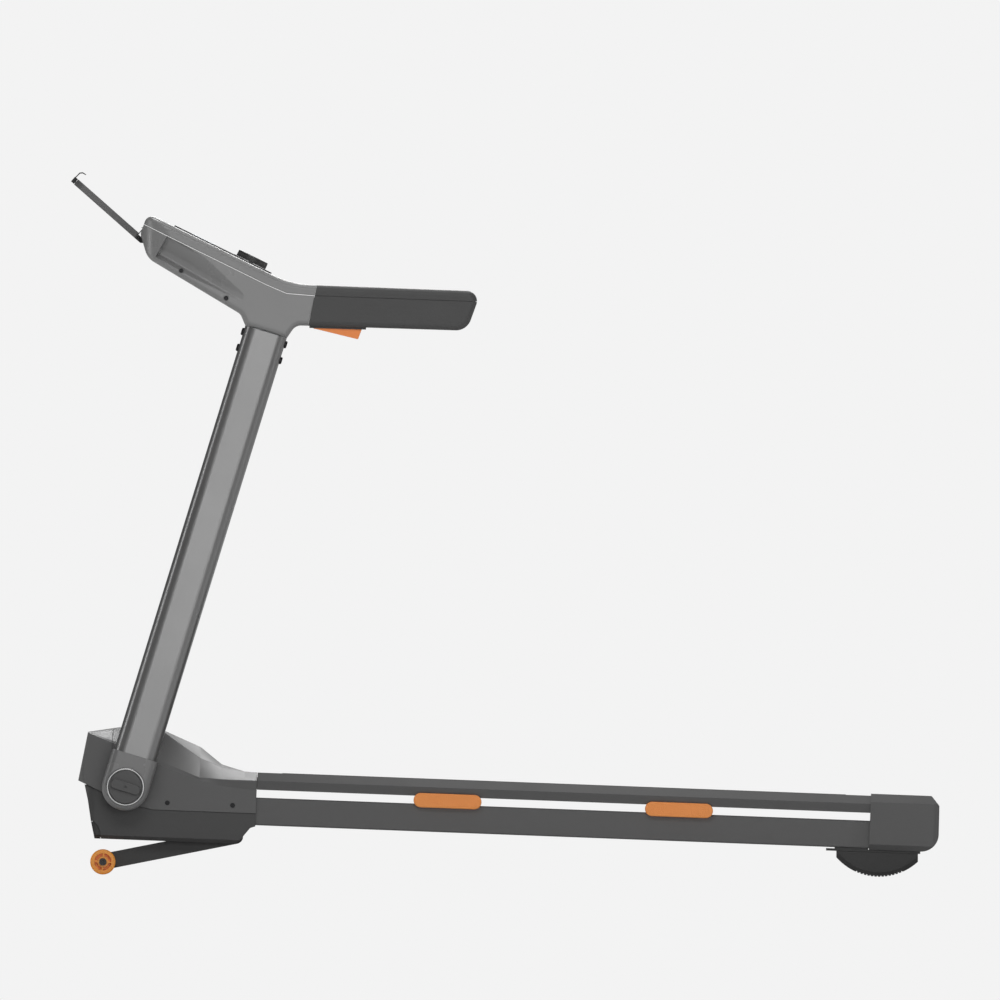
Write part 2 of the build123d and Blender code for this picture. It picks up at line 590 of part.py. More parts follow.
def bumper_zone(grow=0.0):
    """Region at the foot of the front wall that the bumper fills."""
    outline = [(-720, 64.5 + grow), (-688, 64.5 + grow), (-680 + grow, 58), (-676 + grow, 49),
               (-675 + grow, 42), (-671 + grow, 20), (-720, 20)]
    return slab(outline, -400, 400)


def lower_cover():
    """Belly pan with slots for the incline arms and the lever, and a window for the power panel."""
    pan = lower_volume(0) - lower_volume(LOWER_COVER_WALL) - bumper_zone()
    arm_slot = box(-645, -436, ARM_INNER - 3, ARM_INNER + ARM_WIDTH + 3, 20, 46)
    lever_slot = box(LEVER_X - 30, INCLINE_PIVOT_X - 6, ACTUATOR_Y - 15, ACTUATOR_Y + 15, 20, 46)
    window = PANEL_PLACE * box(-12, 12, -PANEL_BOX[0] + 2, PANEL_BOX[0] - 2, -PANEL_BOX[1] + 2, PANEL_BOX[1] - 2)
    pan = pan - arm_slot - other_side(arm_slot) - lever_slot - window
    lip_line = COVER_SEAM[-3:]
    lip_zone = slab([(x, z + 8) for x, z in lip_line] + [(x, z - 8) for x, z in reversed(lip_line)], -400, 400)
    lip_zone = lip_zone & box(-740, -655, -400, 400, 0, 400)
    lip = lower_volume(LOWER_COVER_WALL, False) - lower_volume(LOWER_COVER_WALL + 0.8, False)
    return pan + (lip & lip_zone)


def front_bumper():
    """Black bumper bar at the foot of the front wall, with cheeks that close its seam."""
    cheek = box(-720, -640, LOWER_COVER_SIDE - 18, LOWER_COVER_SIDE - 14, 0, 100)
    cheek = lower_volume(LOWER_COVER_WALL + 0.3, False) & bumper_zone(5) & cheek
    return (lower_volume(0) & bumper_zone(-0.6)) + cheek + other_side(cheek)


# ---- power panel ------------------------------------------------------------------------------
PANEL_PLACE = Pos(-689.8, -130.0, 93.0) * Rot(0, -13.0, 0)
PANEL_BOX = (70.0, 19.0)        # half width and half height
INLET_Y = -40.0
SWITCH_Y = 8.0
BREAKER_Y = 45.0


def power_panel():
    """Panel plate on the front wall with the switch and breaker bodies behind it."""
    half_y, half_z = PANEL_BOX
    plate = box(-2, 0, -half_y, half_y, -half_z, half_z)
    plate = fillet(plate.edges().filter_by(Axis.X), 3)
    rim = box(-3.4, -1, 2 - half_y, half_y - 2, 2 - half_z, half_z - 2)
    plate = plate + (rim - box(-4, 0, 4 - half_y, half_y - 4, 4 - half_z, half_z - 4))
    plate = plate + box(0, 26, SWITCH_Y - 12, SWITCH_Y + 12, -15, 15)
    plate = plate + box(0, 26, BREAKER_Y - 12, BREAKER_Y + 12, -12, 12)
    plate = plate - box(-3, 10, SWITCH_Y - 9.5, SWITCH_Y + 9.5, -12.5, 12.5)
    bore = Pos(0, BREAKER_Y, 0) * Rot(0, 90, 0) * Cylinder(5 + RUNNING_FIT, 30)
    return plate - bore - box(-3, 3, INLET_Y - 14, INLET_Y + 14, -11, 11)


def power_inlet():
    """Three-blade mains inlet."""
    body = box(-3, 20, INLET_Y - 14, INLET_Y + 14, -11, 11)
    cavity = box(-4, 14, INLET_Y - 12, INLET_Y + 12, -8.5, 8.5)
    body = body - cavity
    for offset_y, offset_z in ((-7, -2), (7, -2), (0, 2)):
        body = body + box(4, 14, INLET_Y + offset_y - 1, INLET_Y + offset_y + 1, offset_z - 2, offset_z + 2)
    return body


def power_rocker():
    """Rocker of the power switch, on a pin across the switch body."""
    outline = [(-5.2, -11.0), (-2.2, 0), (-3.0, 11.0), (1.5, 9.5), (1.5, -9.5)]
    return slab(outline, SWITCH_Y - 9, SWITCH_Y + 9) + rod(0, 0, 2.1, SWITCH_Y - 9, SWITCH_Y + 9)


def breaker_button():
    """Push button of the circuit breaker."""
    shaft = Pos(3, BREAKER_Y, 0) * Rot(0, 90, 0) * Cylinder(5, 16)
    return chamfer(shaft.edges().group_by(Axis.X)[0], 0.8)


# ---- drive and electronics under the hood -----------------------------------------------------
def motor_plate():
    """Steel plate that carries the motor, the controller and the incline actuator."""
    plate = box(-655, FRONT_ROLLER_X - 28, -SIDE_TUBE_IN, SIDE_TUBE_IN, SIDE_TUBE_BOTTOM, MOTOR_PLATE_TOP)
    yoke_way = box(LEVER_X - 24, LEVER_X + 24, ACTUATOR_Y - 10, ACTUATOR_Y + 10, 60, 80)
    cradle = box(MOTOR_X - 30, MOTOR_X + 30, MOTOR_LOW_Y + 20, MOTOR_HIGH_Y - 20, MOTOR_PLATE_TOP, MOTOR_Z - 20)
    return plate - yoke_way + (cradle - rod(MOTOR_X, MOTOR_Z, MOTOR_RADIUS, 0, 300))


def drive_motor():
    """Motor body with end shields, bored for its shaft."""
    body = rod(MOTOR_X, MOTOR_Z, MOTOR_RADIUS, MOTOR_LOW_Y, MOTOR_HIGH_Y)
    body = fillet(edges_at(body, lambda c, e: e.length > 6 * MOTOR_RADIUS), 4)
    for y in (MOTOR_LOW_Y + 24, MOTOR_HIGH_Y - 24):
        ring = rod(MOTOR_X, MOTOR_Z, MOTOR_RADIUS + 1, y - 1, y + 1)
        body = body - (ring - rod(MOTOR_X, MOTOR_Z, MOTOR_RADIUS - 1.2, y - 2, y + 2))
    return body - rod(MOTOR_X, MOTOR_Z, MOTOR_SHAFT_RADIUS + RUNNING_FIT, MOTOR_LOW_Y - 1, MOTOR_HIGH_Y + 1)


def motor_rotor():
    """Motor shaft with the small pulley and a cooling fan."""
    shaft = rod(MOTOR_X, MOTOR_Z, MOTOR_SHAFT_RADIUS, MOTOR_LOW_Y - 22, PULLEY_HIGH_Y)
    pulley = rod(MOTOR_X, MOTOR_Z, MOTOR_PULLEY_RADIUS, PULLEY_LOW_Y, PULLEY_HIGH_Y)
    fan = rod(MOTOR_X, MOTOR_Z, 34, MOTOR_LOW_Y - 20, MOTOR_LOW_Y - 17)
    blade = box(10, 33, MOTOR_LOW_Y - 18, MOTOR_LOW_Y - 6, -0.8, 0.8)
    for step in range(9):
        fan = fan + Pos(MOTOR_X, 0, MOTOR_Z) * Rot(0, 40 * step, 0) * blade
    return shaft + pulley + fan


def drive_belt():
    """Ribbed belt from the motor to the front roller."""
    circles = [(MOTOR_X, MOTOR_Z, MOTOR_PULLEY_RADIUS), (FRONT_ROLLER_X, ROLLER_Z, ROLLER_PULLEY_RADIUS)]
    return loop_band(circles, PULLEY_LOW_Y + 2, PULLEY_HIGH_Y - 2, ROLLER_GAP, ROLLER_GAP + DRIVE_BELT_THICKNESS)


def control_board():
    """Motor controller: a finned heat sink with a circuit board and its capacitors."""
    top = MOTOR_PLATE_TOP
    sink = box(-650, -580, -225, -125, top, top + 8)
    for step in range(8):
        x = -648 + 9.4 * step
        sink = sink + box(x, x + 2, -225, -125, top + 8, top + 22)
    board = box(-650, -578, -225, -125, top + 22, top + 24)
    for x, y in ((-635, -205), (-635, -175), (-600, -190)):
        board = board + Pos(x, y, top + 34) * Cylinder(9, 20)
    return sink + board


def incline_actuator():
    """Lift actuator: flange, guide tube, gearbox and its motor."""
    x, y, top = LEVER_X, ACTUATOR_Y, MOTOR_PLATE_TOP
    flange = box(x - 32, x + 32, y - 30, y + 30, top, top + 6)
    tube = Pos(x, y, top + 50) * Cylinder(17, 100)
    gearbox = fillet(box(x - 90, x + 20, y - 28, y + 28, top + 70, top + 100).edges().filter_by(Axis.Z), 6)
    motor = Pos(x - 60, y, top + 40) * Cylinder(24, 62)
    body = flange + tube + gearbox + motor
    return body - Pos(x, y, top + 40) * Cylinder(SCREW_RADIUS + RUNNING_FIT, 130)


def incline_screw():
    """Lift screw with the slotted yoke that holds the lever pin."""
    x, y = LEVER_X, ACTUATOR_Y
    outline = [(x - 13, LEVER_Z - 13), (x + 20, LEVER_Z - 13), (x + 20, LEVER_Z + 9.5), (x - 13, LEVER_Z + 9.5)]
    yoke = slab(outline, y - YOKE_THICKNESS / 2, y + YOKE_THICKNESS / 2, 5)
    slot = box(x - 6.5, x + 13.5, y - 10, y + 10, LEVER_Z - 6.4, LEVER_Z + 6.4)
    screw = Pos(x, y, LEVER_Z + 61) * Cylinder(SCREW_RADIUS, 96)
    screw = screw + Pos(x, y, LEVER_Z + 12) * Cylinder(YOKE_THICKNESS / 2, 6)
    return (yoke - fillet(slot.edges().filter_by(Axis.Y), 5)) + screw


def incline_arm():
    """Arm on the right, bored for the pivot tube and carrying the wheel bolt."""
    length = math.hypot(INCLINE_PIVOT_X - WHEEL_X, INCLINE_PIVOT_Z - 1.6 - WHEEL_Z)
    low, high = ARM_INNER, ARM_INNER + ARM_WIDTH
    half = ARM_DEPTH / 2
    outline = [(-11, -half), (length + half, -half), (length + half, half), (-11, half)]
    arm = slab(outline, low, high, [8, 12, 12, 8])
    arm = Pos(WHEEL_X, 0, WHEEL_Z) * Rot(0, -ARM_SLOPE, 0) * arm
    arm = arm - rod(INCLINE_PIVOT_X, INCLINE_PIVOT_Z, INCLINE_TUBE_RADIUS - 2.5, low - 1, high - 6)
    end = high + 2 * WHEEL_GAP + WHEEL_WIDTH
    washer = rod(WHEEL_X, WHEEL_Z, 7, high, high + WHEEL_GAP - 0.3)
    bolt = rod(WHEEL_X, WHEEL_Z, WHEEL_BOLT_RADIUS, high, end)
    head = rod(WHEEL_X, WHEEL_Z, 6.2, end - WHEEL_GAP + 0.3, end + 2)
    socket = Pos(WHEEL_X, end + 1, WHEEL_Z) * Rot(90, 0, 0) * Pos(0, 0, -1.2) * hexagon(2.5, 4)
    return arm + washer + bolt + (head - socket)


def incline_pivot_tube():
    """Torsion tube between the arms, with the two lever plates and their pin."""
    radius = INCLINE_TUBE_RADIUS - 2.5
    tube = rod(INCLINE_PIVOT_X, INCLINE_PIVOT_Z, radius, -ARM_INNER - 10, ARM_INNER + 10)
    tube = tube + rod(INCLINE_PIVOT_X, INCLINE_PIVOT_Z, INCLINE_TUBE_RADIUS, -ARM_INNER + 24, ARM_INNER - 24)
    outline = [(LEVER_X - 9, LEVER_Z - 9), (INCLINE_PIVOT_X + 9, INCLINE_PIVOT_Z - 9),
               (INCLINE_PIVOT_X + 9, INCLINE_PIVOT_Z + 9), (LEVER_X - 9, LEVER_Z + 9)]
    for y in (ACTUATOR_Y - 9, ACTUATOR_Y + 9):
        tube = tube + slab(outline, y - 3, y + 3, 7)
    return tube + rod(LEVER_X, LEVER_Z, LEVER_PIN_RADIUS, ACTUATOR_Y - 12, ACTUATOR_Y + 12)


def wheel():
    """Transport wheel on the right arm, with four arc slots in its outer face."""
    low = ARM_INNER + ARM_WIDTH + WHEEL_GAP
    high = low + WHEEL_WIDTH
    body = rod(WHEEL_X, WHEEL_Z, WHEEL_RADIUS, low, high)
    body = fillet(edges_at(body, lambda c, e: e.length > 6 * WHEEL_RADIUS), 2.5)
    ring = rod(WHEEL_X, WHEEL_Z, 14.2, high - 9, high + 1) - rod(WHEEL_X, WHEEL_Z, 9.2, high - 10, high + 2)
    spokes = box(-16, 16, high - 10, high + 3, -1.3, 1.3) + box(-1.3, 1.3, high - 10, high + 3, -16, 16)
    body = body - (ring - Pos(WHEEL_X, 0, WHEEL_Z) * Rot(0, 3, 0) * spokes)
    return body - rod(WHEEL_X, WHEEL_Z, WHEEL_BOLT_RADIUS + RUNNING_FIT, low - 1, high + 1)


# ---- mast -------------------------------------------------------------------------------------
def mast_bracket():
    """Plates on the right side tube with the pivot axle of the mast."""
    x, z = PIVOT_IN_DECK.X, PIVOT_IN_DECK.Z
    inner = box(x - 18, x + 30, SIDE_TUBE_IN - 6, SIDE_TUBE_IN, MOTOR_PLATE_TOP, z + 28)
    outer = box(x - 26, x + 30, SIDE_TUBE_OUT - 6, SIDE_TUBE_OUT, SIDE_TUBE_TOP, z + 28)
    plates = chamfer((inner + outer).edges().group_by(Axis.Z)[-1].filter_by(Axis.Y), 14)
    axle = rod(x, z, PIVOT_AXLE_RADIUS, SIDE_TUBE_IN - 8, POST_Y + BOOT_WIDTH / 2 - BOOT_CAP - 1)
    return plates + axle + rod(x, z, 20, SIDE_TUBE_IN - 12, SIDE_TUBE_IN - 6)


def post_section(inset):
    """Rounded section of a post."""
    return RectangleRounded(POST_DEPTH - 2 * inset, POST_WIDTH - 2 * inset, POST_CORNER - inset)


def post():
    """Right post, drilled for the bolts of the dashboard."""
    outer = Pos(0, POST_Y, POST_FOOT) * extrude(post_section(0), POST_TOP - POST_FOOT)
    inner = Pos(0, POST_Y, POST_FOOT - 1) * extrude(post_section(POST_WALL), POST_TOP - POST_FOOT + 2)
    tube = outer - inner
    for spot in BOLT_SPOTS:
        tube = tube - Pos(0, POST_Y, spot) * Rot(0, 90, 0) * Cylinder(BOLT_RADIUS + 0.2, POST_DEPTH + 4)
    return tube


def post_boot():
    """Cast foot of a post: holds the tube above and turns on the pivot axle below."""
    low, high = POST_Y - BOOT_WIDTH / 2, POST_Y + BOOT_WIDTH / 2
    radius = BOOT_RADIUS
    body = slab([(-radius, -radius), (radius, -radius), (radius, BOOT_TOP), (-radius, BOOT_TOP)],
                low, high, [radius - 0.05, radius - 0.05, 0, 0])
    outer = edges_at(body, lambda c, e: abs(abs(c.Y - POST_Y) - BOOT_WIDTH / 2) < 0.1 and c.Z < BOOT_TOP - 1)
    body = fillet(outer, BOOT_ROUND)
    body = body - Pos(0, POST_Y, POST_FOOT) * extrude(post_section(0), 60)
    body = body - rod(0, 0, PIVOT_AXLE_RADIUS + RUNNING_FIT, low - 1, high - BOOT_CAP)
    return body - rod(0, 0, KNOB_RING_OUTER, high - KNOB_SEAT, high + 1) - rod(0, 0, KNOB_STEM + 0.2, low, high)


def knob_ring():
    """Bright ring let into the boot round the lock knob."""
    face = POST_Y + BOOT_WIDTH / 2
    ring = rod(0, 0, KNOB_RING_OUTER, face - KNOB_SEAT, face + 1.5)
    ring = ring - rod(0, 0, KNOB_RING_INNER, face - 4, face + 3)
    rim = edges_at(ring, lambda c, e: c.Y > face + 1)
    return fillet(rim, 1)


def lock_knob():
    """Twist knob: disc, raised grip bar and a threaded stem."""
    face = POST_Y + BOOT_WIDTH / 2
    back, front = face - KNOB_SEAT + 0.3, face + KNOB_RISE
    disc = rod(0, 0, KNOB_RADIUS, back, front)
    disc = chamfer(edges_at(disc, lambda c, e: c.Y > face), 0.8)
    half = KNOB_RADIUS - 1.5
    width = KNOB_BAR_WIDTH / 2
    bar_outline = [(-half, -width), (half, -width), (half, width), (-half, width)]
    grip_bar = slab(bar_outline, face, front + KNOB_BAR_RISE, width - 0.5)
    grip_bar = fillet(edges_at(grip_bar, lambda c, e: c.Y > front + KNOB_BAR_RISE - 1), 2)
    stem = rod(0, 0, KNOB_STEM, face - BOOT_CAP + 0.5, back)
    return disc + grip_bar + stem - rod(0, 0, 2.2, front + KNOB_BAR_RISE - 3, face + 20)


def console_bolts():
    """Button-head bolts, two in front and two behind on each post."""
    pieces = []
    seat = POST_DEPTH / 2
    for spot in BOLT_SPOTS:
        shank = Pos(seat - 8, POST_Y, spot) * Rot(0, 90, 0) * Cylinder(BOLT_RADIUS, 16)
        head = Pos(seat + BOLT_HEAD_HEIGHT / 2 - 0.4, POST_Y, spot) * Rot(0, 90, 0)
        head = head * Cylinder(BOLT_HEAD_RADIUS, BOLT_HEAD_HEIGHT + 0.8)
        head = fillet(head.edges().group_by(Axis.X)[-1], 2.4)
        socket = Pos(seat + BOLT_HEAD_HEIGHT, POST_Y, spot) * Rot(0, 90, 0) * hexagon(2, 4)
        bolt = (shank + head - post_wall_blank()) + shank - socket
        pieces.extend([bolt, mirror(bolt, about=Plane.YZ)])
    return group(*[pair(piece) for piece in pieces])


def post_wall_blank():
    """Solid envelope of the post, used to seat the bolt heads."""
    return Pos(0, POST_Y, POST_TOP - 100) * extrude(post_section(0), 100)


# ---- dashboard --------------------------------------------------------------------------------
# Side outline of the dashboard and handles with the rounding of each corner.
NECK_X = (POST_DEPTH / 2 + 0.05) * math.cos(math.radians(MAST_TILT))
NECK_Z = POST_DEPTH / 2 * math.sin(math.radians(MAST_TILT))
DASH_OUTLINE = (
    ((-197.0, 196.4), 13), ((-209.0, 162.0), 12), ((-197.0, 121.8), 32), ((-42.5, 29.5), 16),
    ((-NECK_X, NECK_Z + 0.05), 0), ((NECK_X, 0.05 - NECK_Z), 0), ((49.0, 11.0), 18), ((333.5, 3.0), 26),
    ((357.0, 68.6), 17), ((42.2, 79.3), 150),
)
DASH_SEAM_LINE = ((-260.0, 206.0), (-200.0, 176.8), (-61.0, 108.8), (0.0, 79.0), (34.0, 64.4),
                  (80.0, 60.8), (325.0, 52.6), (420.0, 49.4))
GRIP_SEAM_TOP = (84.4, 78.5)
GRIP_SEAM_FOOT = (69.4, 8.5)
HANDLE_INNER = DASH_HALF_WIDTH - HANDLE_WIDTH


def dash_side(inset):
    """Side outline face of the dashboard."""
    points = [point for point, radius in DASH_OUTLINE]
    radii = [radius for point, radius in DASH_OUTLINE]
    face = make_face(FilletPolyline(*points, radius=radii, close=True))
    return offset(face, -inset, kind=Kind.INTERSECTION) if inset else face


def dash_plan(inset):
    """Plan of the dashboard: a rounded block with the user's bay cut out behind it."""
    half = DASH_HALF_WIDTH - inset
    front, rear = -240.0, 420.0
    outline = [(rear, -half), (rear, half), (-208.7 + inset, half), (-208.7 + inset, -half)]
    radius = DASH_CORNER - inset
    block = extrude(make_face(FilletPolyline(*outline, radius=[0, 0, radius, radius], close=True)), 400)
    return Pos(0, 0, -100) * block


def dash_bay(inset):
    """Space between the handles, behind the sloping rear wall of the dashboard."""
    reach = HANDLE_INNER + inset
    outline = [(26 - inset, 200), (26 - inset, 80), (-46 - inset, 30), (-70, -60), (460, -60), (460, 200)]
    return slab(outline, -reach, reach)


def dash_volume(inset):
    """Solid dashboard with handles, or its inside."""
    side = Plane.XZ * dash_side(inset)
    solid = extrude(side, DASH_HALF_WIDTH + 5, both=True) & dash_plan(inset)
    return solid - dash_bay(inset)


SCOOP_TURN = 29.5               # slope of the scoop along the cheek
SCOOP_FADE = 7.0                # the floor rises towards the neck by this angle
SCOOP_PLACE = Pos(-115.0, DASH_HALF_WIDTH, 103.5) * Rot(0, SCOOP_TURN, 0)


def scoop(grow=0.0):
    """Hollow in the cheek of the dashboard, right side: deep at the nose, running out at the neck."""
    depth, out = SCOOP_DEPTH + grow, 40.0
    section = [(out, 30 + grow), (0, 24 + grow), (-depth, 2 + grow), (-depth, -9 - grow), (0, -15.5 - grow),
               (out, -16 - grow)]
    face = make_face(FilletPolyline(*section, radius=[0, 6, 10, 4, 1, 0], close=True))
    channel = Rot(0, 0, SCOOP_FADE) * (Plane.YZ * extrude(face, 170, both=True))
    plan = [(-70 - grow, -60), (-70 - grow, 60), (190, 60), (190, -60)]
    nose = slab(plan, -60, 60, [30, 30, 0, 0])
    return SCOOP_PLACE * (channel & nose)


def dash_body():
    """Outer form of the dashboard and handles with every edge rounded."""
    body = dash_volume(0)
    top = edges_at(body, lambda c, e: abs(abs(c.Y) - DASH_HALF_WIDTH) < 0.2)
    body = fillet(top, DASH_EDGE)
    return body


def above_seam(gap, above=True):
    """Everything above or below the seam of the dashboard shells."""
    edge = [(x, z + gap) for x, z in DASH_SEAM_LINE]
    limit = 500 if above else -300
    return slab(edge + [(420, limit), (-260, limit)], -450, 450)


def grip_zone(grow=0.0):
    """Region of the handles that the grips cover."""
    (top_x, top_z), (foot_x, foot_z) = GRIP_SEAM_TOP, GRIP_SEAM_FOOT
    lean = (top_x - foot_x) / (top_z - foot_z)
    outline = [(top_x - grow + 50 * lean, top_z + 50), (foot_x - grow - 50 * lean, foot_z - 50),
               (460, foot_z - 50), (460, top_z + 50)]
    return slab(outline, -450, 450)


def dash_shells():
    """Upper and lower dashboard shells, hollow, with room for everything that seats in them."""
    body = dash_body()
    inner = dash_volume(DASH_WALL) - scoop(DASH_WALL) - other_side(scoop(DASH_WALL))
    shell = body - inner - grip_zone()
    shell = shell - scoop() - other_side(scoop())
    shell = shell - holder_recess() - SLOPE * display_blank(0.2)
    shell = shell - SLOPE * Cylinder(DIAL_SHAFT_RADIUS + 1, 40)
    shell = shell - pair(MAST_AT_HEAD * Pos(0, POST_Y, -8) * extrude(post_section(POST_WALL + 1), 16))
    shell = shell - pair(handle_way())
    upper = shell & above_seam(0)
    lower = shell & above_seam(-DASH_SEAM, False)
    for x, z in DASH_SCREWS:
        hole = pair(rod(x, z, 4.2, DASH_HALF_WIDTH - 1.5, DASH_HALF_WIDTH + 2))
        lower = lower - hole
    return biggest(upper), biggest(lower)


def biggest(shape):
    """The largest solid of a cut result."""
    return max(shape.solids(), key=lambda solid: solid.volume)


DASH_SCREWS = ((-141.0, 101.5), (-66.5, 56.0))


def dash_screws():
    """Screws in the lower edge of the dashboard cheeks."""
    pieces = [rod(x, z, 3.6, DASH_HALF_WIDTH - 1.5, DASH_HALF_WIDTH - 0.6) for x, z in DASH_SCREWS]
    return group(*[pair(piece) for piece in pieces])


SLOPE = Pos(-26.85, 0, 113.06) * Rot(0, DASH_SLOPE, 0)


def display_blank(grow=0.0):
    """Outline block of the display panel, on the sloping top."""
    sink = PANEL_THICKNESS - PANEL_PROUD
    block = box(PANEL_FRONT - grow, PANEL_REAR + grow, -PANEL_HALF_WIDTH - grow, PANEL_HALF_WIDTH + grow,
                -sink, PANEL_PROUD)
    return fillet(block.edges().filter_by(Axis.Z), 14)


def display_panel():
    """Black display overlay with a seat for the dial."""
    panel = display_blank()
    panel = chamfer(panel.edges().group_by(Axis.Z)[-1], 0.6)
    return panel - Cylinder(DIAL_SHAFT_RADIUS + 1, 40)


def speed_dial():
    """Knurled speed dial with a shaft."""
    foot = PANEL_PROUD + FREE_GAP
    body = Pos(0, 0, foot + DIAL_HEIGHT / 2) * Cylinder(DIAL_RADIUS, DIAL_HEIGHT)
    body = fillet(body.edges().group_by(Axis.Z)[-1], 2)
    for step in range(48):
        flute = Pos(DIAL_RADIUS + 0.35, 0, foot + DIAL_HEIGHT / 2 - 1) * Cylinder(0.7, DIAL_HEIGHT - 4)
        body = body - Rot(0, 0, 7.5 * step) * flute
    dish = Pos(0, 0, foot + DIAL_HEIGHT) * Cylinder(18, 1.2)
    return body - dish + Pos(0, 0, foot - 9) * Cylinder(DIAL_SHAFT_RADIUS, 20)


def console_board():
    """Circuit board under the display with the dial's encoder."""
    board = box(-120, 20, -200, 200, -16, -14.4)
    encoder = box(-7, 7, -7, 7, -14.4, -9) - Pos(0, 0, -9) * Cylinder(DIAL_SHAFT_RADIUS + RUNNING_FIT, 30)
    return board - Cylinder(DIAL_SHAFT_RADIUS + 1, 60) + encoder


PADDLE_HINGE = (80.5, 7.4)


def paddle_outline():
    """Side outline of a finger paddle."""
    return [(80.5, 8.6), (156.5, 6.8), (158.8, 4.4), (152.8, -11.8), (78.6, 6.2)]


def paddle():
    """Finger paddle under the right grip."""
    low = POST_Y - PADDLE_WIDTH / 2
    body = slab(paddle_outline(), low, low + PADDLE_WIDTH)
    body = fillet(body.edges().filter_by(Axis.Y).group_by(Axis.Z)[0], 1.5)
    return body + rod(*PADDLE_HINGE, 2.0, low, low + PADDLE_WIDTH)


def paddle_pocket():
    """Room above the paddle for its travel."""
    half = PADDLE_WIDTH / 2 + 0.8
    return box(77.5, 161, POST_Y - half, POST_Y + half, 0, 14.5)


def paddle_base():
    """Bezel round the paddle on the underside of the grip."""
    half = PADDLE_BASE_WIDTH / 2
    outline = [(72, 10.4), (166, 7.9), (166, 4.4), (72, 6.9)]
    return slab(outline, POST_Y - half, POST_Y + half) - paddle_pocket() - dash_body()


def handle_way():
    """Room for the handle tube and its tongue inside the dashboard, right side."""
    tongue = MAST_AT_HEAD * (Pos(0, POST_Y, -40) * Box(50.4, 26.4, 90.4))
    rail = Pos(160, POST_Y, HANDLE_TUBE_Z) * Rot(0, 91.9, 0) * Cylinder(HANDLE_TUBE_RADIUS + 0.2, 330.4)
    return tongue + rail + Pos(6, POST_Y, 20) * Box(22.4, 22.4, 44.4)


def handle_tube():
    """Steel tube inside the handle, bent down into the post, right side."""
    tongue = MAST_AT_HEAD * (Pos(0, POST_Y, -40) * Box(50, 26, 90))
    hole = MAST_AT_HEAD * (Pos(0, POST_Y, -40) * Box(46, 22, 100))
    rail = Pos(160, POST_Y, HANDLE_TUBE_Z) * Rot(0, 91.9, 0) * Cylinder(HANDLE_TUBE_RADIUS, 330)
    core = Pos(160, POST_Y, HANDLE_TUBE_Z) * Rot(0, 91.9, 0) * Cylinder(HANDLE_TUBE_RADIUS - 2, 340)
    foot = Pos(6, POST_Y, 20) * Box(22, 22, 44)
    tongue = tongue - hole
    for spot in BOLT_SPOTS:
        tongue = tongue - MAST_AT_HEAD * (Pos(0, POST_Y, spot - POST_TOP) * Rot(0, 90, 0)
                                          * Cylinder(BOLT_RADIUS + 0.2, 60))
    return tongue + (foot - hole) + (rail - core)


HANDLE_TUBE_Z = 40.0
MAST_AT_HEAD = Rot(0, MAST_TILT, 0)


def grip(body):
    """Rubber grip round the handle tube, with the seam groove and the paddle pocket."""
    side = box(-500, 500, 250, 400, -200, 400)
    sleeve = body & grip_zone(-0.15) & side
    bore = Pos(170, POST_Y, HANDLE_TUBE_Z - 0.33) * Rot(0, 91.9, 0) * Cylinder(HANDLE_TUBE_RADIUS + 0.1, 314)
    band = above_seam(-DASH_SEAM) & above_seam(0, False)
    skin = band - box(-500, DASH_OUTLINE[8][0][0] - 9, HANDLE_INNER + 1, DASH_HALF_WIDTH - 1, -200, 400)
    return sleeve - bore - skin - paddle_pocket()


# ---- tablet holder ----------------------------------------------------------------------------
HOLDER = Pos(-211.65, 0, 163.95) * Rot(0, HOLDER_ANGLE, 0)
HINGE_LOCAL = (11.0, -5.5)


def holder_recess():
    """Room in the nose of the dashboard for the holder's hinge and ledge."""
    half = HINGE_HALF_WIDTH + HINGE_LUG + 1
    x, z = HINGE_LOCAL
    around = HOLDER * rod(x, z, HINGE_RADIUS + 1.5, -half, half)
    well = HINGE_CENTRE * box(0, 14, -half, half, -7, 7)
    ledge = HOLDER * box(-6, LEDGE_WALL + 1.2, -LEDGE_HALF_WIDTH - 2, LEDGE_HALF_WIDTH + 2, -16, 18)
    return around + well + ledge


HINGE_CENTRE = Pos((HOLDER * Pos(HINGE_LOCAL[0], 0, HINGE_LOCAL[1])).position)


def holder_hinge():
    """Lugs and pin of the holder's hinge, fixed in the nose of the dashboard."""
    inner, outer = HINGE_HALF_WIDTH + 0.3, HINGE_HALF_WIDTH + HINGE_LUG
    lug = rod(0, 0, HINGE_RADIUS, inner, outer) + box(0, 10, inner, outer, -HINGE_RADIUS, HINGE_RADIUS)
    plate = box(9.5, 14, -outer - 0.8, outer + 0.8, -6.8, 6.8)
    pin = rod(0, 0, HINGE_PIN_RADIUS, -outer, outer)
    return HINGE_CENTRE * (lug + other_side(lug) + plate + pin)


